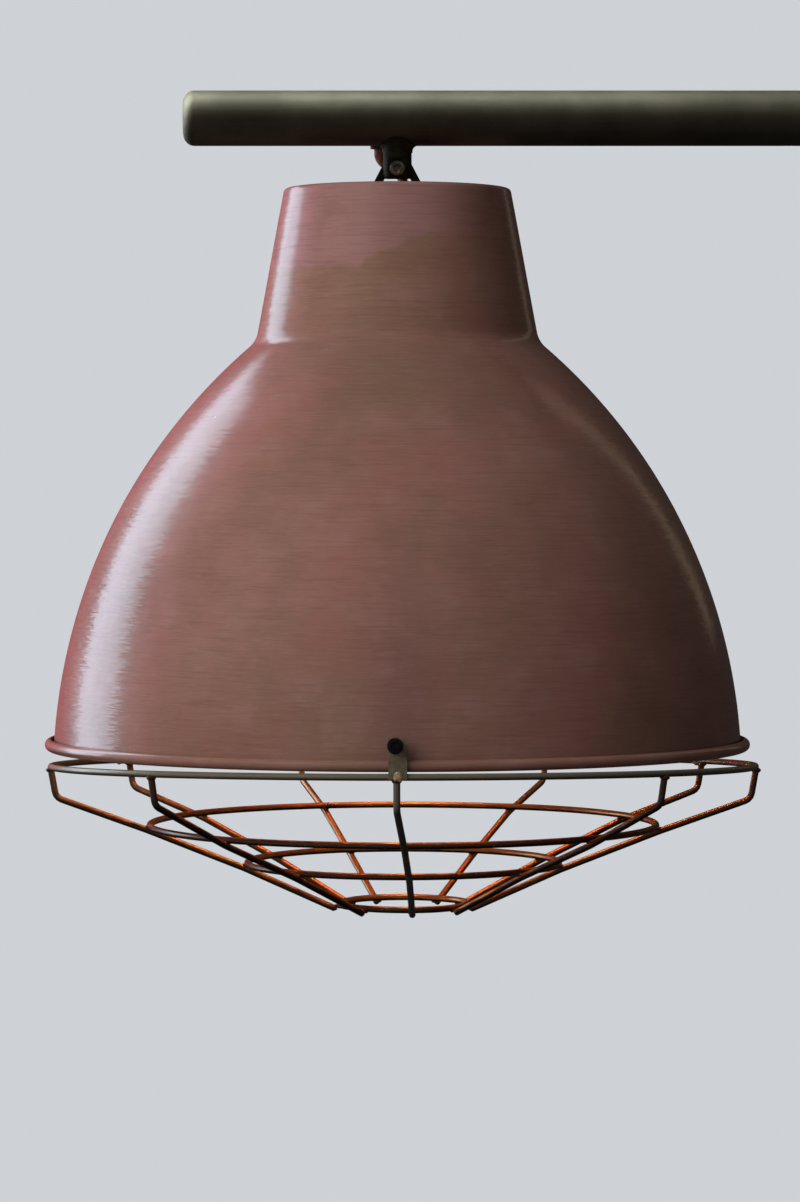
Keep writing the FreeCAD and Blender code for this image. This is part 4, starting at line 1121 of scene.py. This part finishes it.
def smooth_path(route):
    """Points along a smooth curve that a list of places pulls into shape."""
    curve = bpy.data.curves.new("flex_line", "CURVE")
    curve.dimensions = "3D"
    curve.resolution_u = 16
    spline = curve.splines.new("NURBS")
    spline.points.add(len(route) - 1)
    for point, place in zip(spline.points, route):
        point.co = (*place, 1)
    spline.order_u = 3
    spline.use_endpoint_u = True
    line = add_object("flex_line", curve)
    bpy.context.view_layer.update()
    sampled = bpy.data.meshes.new_from_object(line)
    bpy.data.objects.remove(line)
    return [v.co.copy() for v in sampled.vertices]


def add_braid_uv(mesh, path, sides):
    """A UV that runs once round the flex, and along it in multiples of its girth."""
    uv = mesh.uv_layers.new(name="braid")
    lengths = [0.0]
    for a, b in zip(path, path[1:]):
        lengths.append(lengths[-1] + (b - a).length)
    for face in mesh.polygons:
        columns = [mesh.loops[i].vertex_index % sides for i in face.loop_indices]
        wraps = max(columns) - min(columns) > sides / 2
        for i, column in zip(face.loop_indices, columns):
            row = min(mesh.loops[i].vertex_index // sides, len(path) - 1)
            u = 1.0 if wraps and column == 0 else column / sides
            uv.data[i].uv = (u, lengths[row] / (2 * math.pi * FLEX_R))


def make_flex(material):
    """The cloth-covered flex, from the bar's grommet round the back of the stem into the cord grip."""
    low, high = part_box("flex_drop")
    start = top_middle("bar_grommet")
    start.z = high.z
    grip = top_middle("cord_grip")
    route = [
        start + up(5 * MM),
        start,
        start + Vector((0, 0.4, -5)) * MM,
        start + Vector((3.2, 6.2, -8.6)) * MM,
        grip + Vector((-5.2, -3.4, 8.6)) * MM,
        grip + up(3.6) * MM,
        grip + up(-4) * MM,
        Vector((grip.x, grip.y, low.z)),
    ]
    path = smooth_path(route)
    sides = 20
    mesh = mesh_from(*sweep(path, FLEX_R, sides))
    add_braid_uv(mesh, path, sides)
    piece = add_object("flex", mesh)
    mesh.materials.append(material)
    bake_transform(piece)
    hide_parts("flex_drop")


# Bulb

def make_bulb_glass(glass):
    shoulder_r = BULB_NECK_R + BULB_SHOULDER_R
    rise = math.sqrt((BULB_R + BULB_SHOULDER_R) ** 2 - shoulder_r ** 2)
    join = math.degrees(math.atan2(rise, shoulder_r))
    shapes = []
    for depth in (0.0, BULB_GLASS):
        ball = arc((0, BULB_CENTRE_Z), BULB_R - depth, -90, join, 40)
        ball[0] = (0, ball[0][1])
        shoulder = arc((shoulder_r, BULB_CENTRE_Z + rise), BULB_SHOULDER_R + depth, 180 + join, 180, 16)
        neck_r = BULB_NECK_R - depth
        top_z = BULB_HI.z - depth
        crown = [(neck_r, top_z - 1 * MM), (neck_r - 1 * MM, top_z), (0, top_z)]
        shapes.append(lathe(joined(ball, shoulder, crown), 96, AXIS, closed=False))
    place_shape("bulb_envelope", add_shapes(shapes), "bulb", glass, ["bulb_glass"], 40)


def make_bulb_cap(metal):
    low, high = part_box("bulb_cap")
    edge_z = high.z - 1.5 * MM
    outside = straight((BULB_CAP_R, low.z), (BULB_CAP_R, edge_z), 60)
    crown = [(9.2 * MM, high.z), (8.5 * MM, high.z)]
    inside = [(BULB_CAP_BORE_R, edge_z), (BULB_CAP_BORE_R, low.z)]

    def thread(angle, r, z):
        if r < BULB_CAP_R - 0.1 * MM:
            return 0.0
        fade = min(1.0, (z - low.z) / (3 * MM)) * min(1.0, max(0.0, (high.z - 2 * MM - z) / (2 * MM)))
        return 0.28 * MM * fade * math.cos(2 * math.pi * z / BULB_THREAD - angle)

    shape = lathe(outside + crown + inside, 72, AXIS, thread)
    place_shape("bulb_screw_cap", shape, "bulb", metal, ["bulb_cap"], 50)


# Everything

def light_the_bar():
    """The bar's own light falls on what hangs above the shade, and not on the shade."""
    receivers = bpy.data.objects["bar_light"].light_linking.receiver_collection
    for piece in bpy.data.objects:
        if piece.type == "MESH" and piece.name.startswith(("bar", "stem", "pivot", "hanger", "flex")):
            receivers.objects.link(piece)


def finish_cad_pieces(shaded_bronze, black, glass):
    """The pieces that keep their CAD shape, with their edges broken."""
    bronze_strip = machined("bronze_strip", (0.200, 0.180, 0.108), (0.105, 0.090, 0.056), 0.36, 0.5)
    zinc = machined("zinc_plate", (0.50, 0.50, 0.49), (0.33, 0.32, 0.29), 0.34)
    brass = machined("plain_brass", (0.60, 0.43, 0.19), (0.38, 0.25, 0.10), 0.30)
    zinc_pieces = (
        "pivot_washer", "pivot_nut", "hanger_nuts", "stiffening_disc", "nipple", "nipple_nuts",
        "lampholder_bracket", "bracket_screws", "guard_spacers", "guard_washers", "guard_nuts",
        "earth_screw", "cord_grip_nut", "socket_sleeve",
    )
    brass_pieces = ("cord_grip", "screw_shell", "centre_contact", "terminals", "terminal_screws",
                    "bulb_contact")
    finishes = {
        # Stem and hanger in the bronze painted darker as shade.
        shaded_bronze: ("antique_bronze", ("stem", "hanger_stirrup", "hanger_plate")),
        bronze_strip: ("guard_strip", ["guard_tab_" + tab for tab in TABS]),
        black: ("black_screw", ("hanger_screws", "socket_grub_screw")),
        zinc: ("zinc_steel", zinc_pieces),
        brass: ("brass", brass_pieces),
        porcelain(): ("porcelain", ("lampholder_body",)),
        moulded("cloth_plain", (0.17, 0.035, 0.03), 0.8): ("flex_cloth", ("flex_in_bar",)),
        moulded("core_brown", (0.16, 0.075, 0.035)): ("core_brown", ("core_line",)),
        moulded("core_blue", (0.04, 0.13, 0.42)): ("core_blue", ("core_neutral",)),
        moulded("core_green", (0.16, 0.38, 0.08)): ("core_green", ("core_earth",)),
        moulded("grommet_rubber", (0.022, 0.022, 0.022), 0.7): ("rubber", ("bar_grommet",)),
        moulded("nylon", (0.70, 0.68, 0.62), 0.45): ("nylon", ("splice_block",)),
        glass: ("bulb_glass", ("bulb_mount",)),
        glowing_filament(): ("filament", ("bulb_filaments",)),
        zinc.copy(): ("bulb_wire", ("bulb_supports",)),
        moulded("black_vitrite", (0.02, 0.02, 0.025), 0.15): ("black_glass", ("bulb_insulator",)),
    }
    for material, (slot, nodes) in finishes.items():
        for node in nodes:
            low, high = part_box(node)
            softened(node, material, bevel=min(0.3 * MM, min(high - low) * 0.06))


def main():
    add_camera()
    add_lights()
    set_world()
    add_floor()

    bronze = antique_bronze("antique_bronze", (0.118, 0.117, 0.086), (0.066, 0.066, 0.046), 0.60, 0.2)
    # The bar's bronze painted about three times darker as shade, for the stem, hanger and weld under the bar;
    # rougher, without coat.
    shaded_bronze = antique_bronze("shaded_bronze", (0.040, 0.042, 0.030), (0.024, 0.026, 0.018), 0.66, 0.0)
    # Wire looks: painted glow colour, the wire's own colour, painted shade under it, metallic. The bronze one
    # has a weaker painted glow.
    wire = wire_look("glow_painted_wire", (0.62, 0.30, 0.105), (0.100, 0.066, 0.044), (0.012, 0.009, 0.008), 0.8)
    wire_bronze = wire_look("bronze_wire", (0.32, 0.25, 0.16), (0.200, 0.192, 0.145),
                            (0.075, 0.070, 0.054), 0.6)
    black = machined("black_oxide", (0.022, 0.023, 0.026), (0.045, 0.042, 0.040), 0.36)
    worn = machined("worn_screw", (0.20, 0.19, 0.145), (0.045, 0.045, 0.035), 0.36)
    weld = machined("weld_dark", (0.24, 0.115, 0.062), (0.095, 0.055, 0.036), 0.40)
    glass = clear_glass()

    make_shade(copper_shade(), copper_inside())
    make_bar(bronze)
    make_bar_cap(bronze)
    make_stem_weld(shaded_bronze)
    make_screws(black, worn)
    make_guard(wire, wire_bronze)
    make_welds(weld, weld_metal())
    make_flex(braided_cloth())
    make_bulb_glass(glass)
    make_bulb_cap(machined("cap_metal", (0.66, 0.65, 0.62), (0.48, 0.46, 0.42), 0.28))
    finish_cad_pieces(shaded_bronze, black, glass)
    light_the_bar()


main()
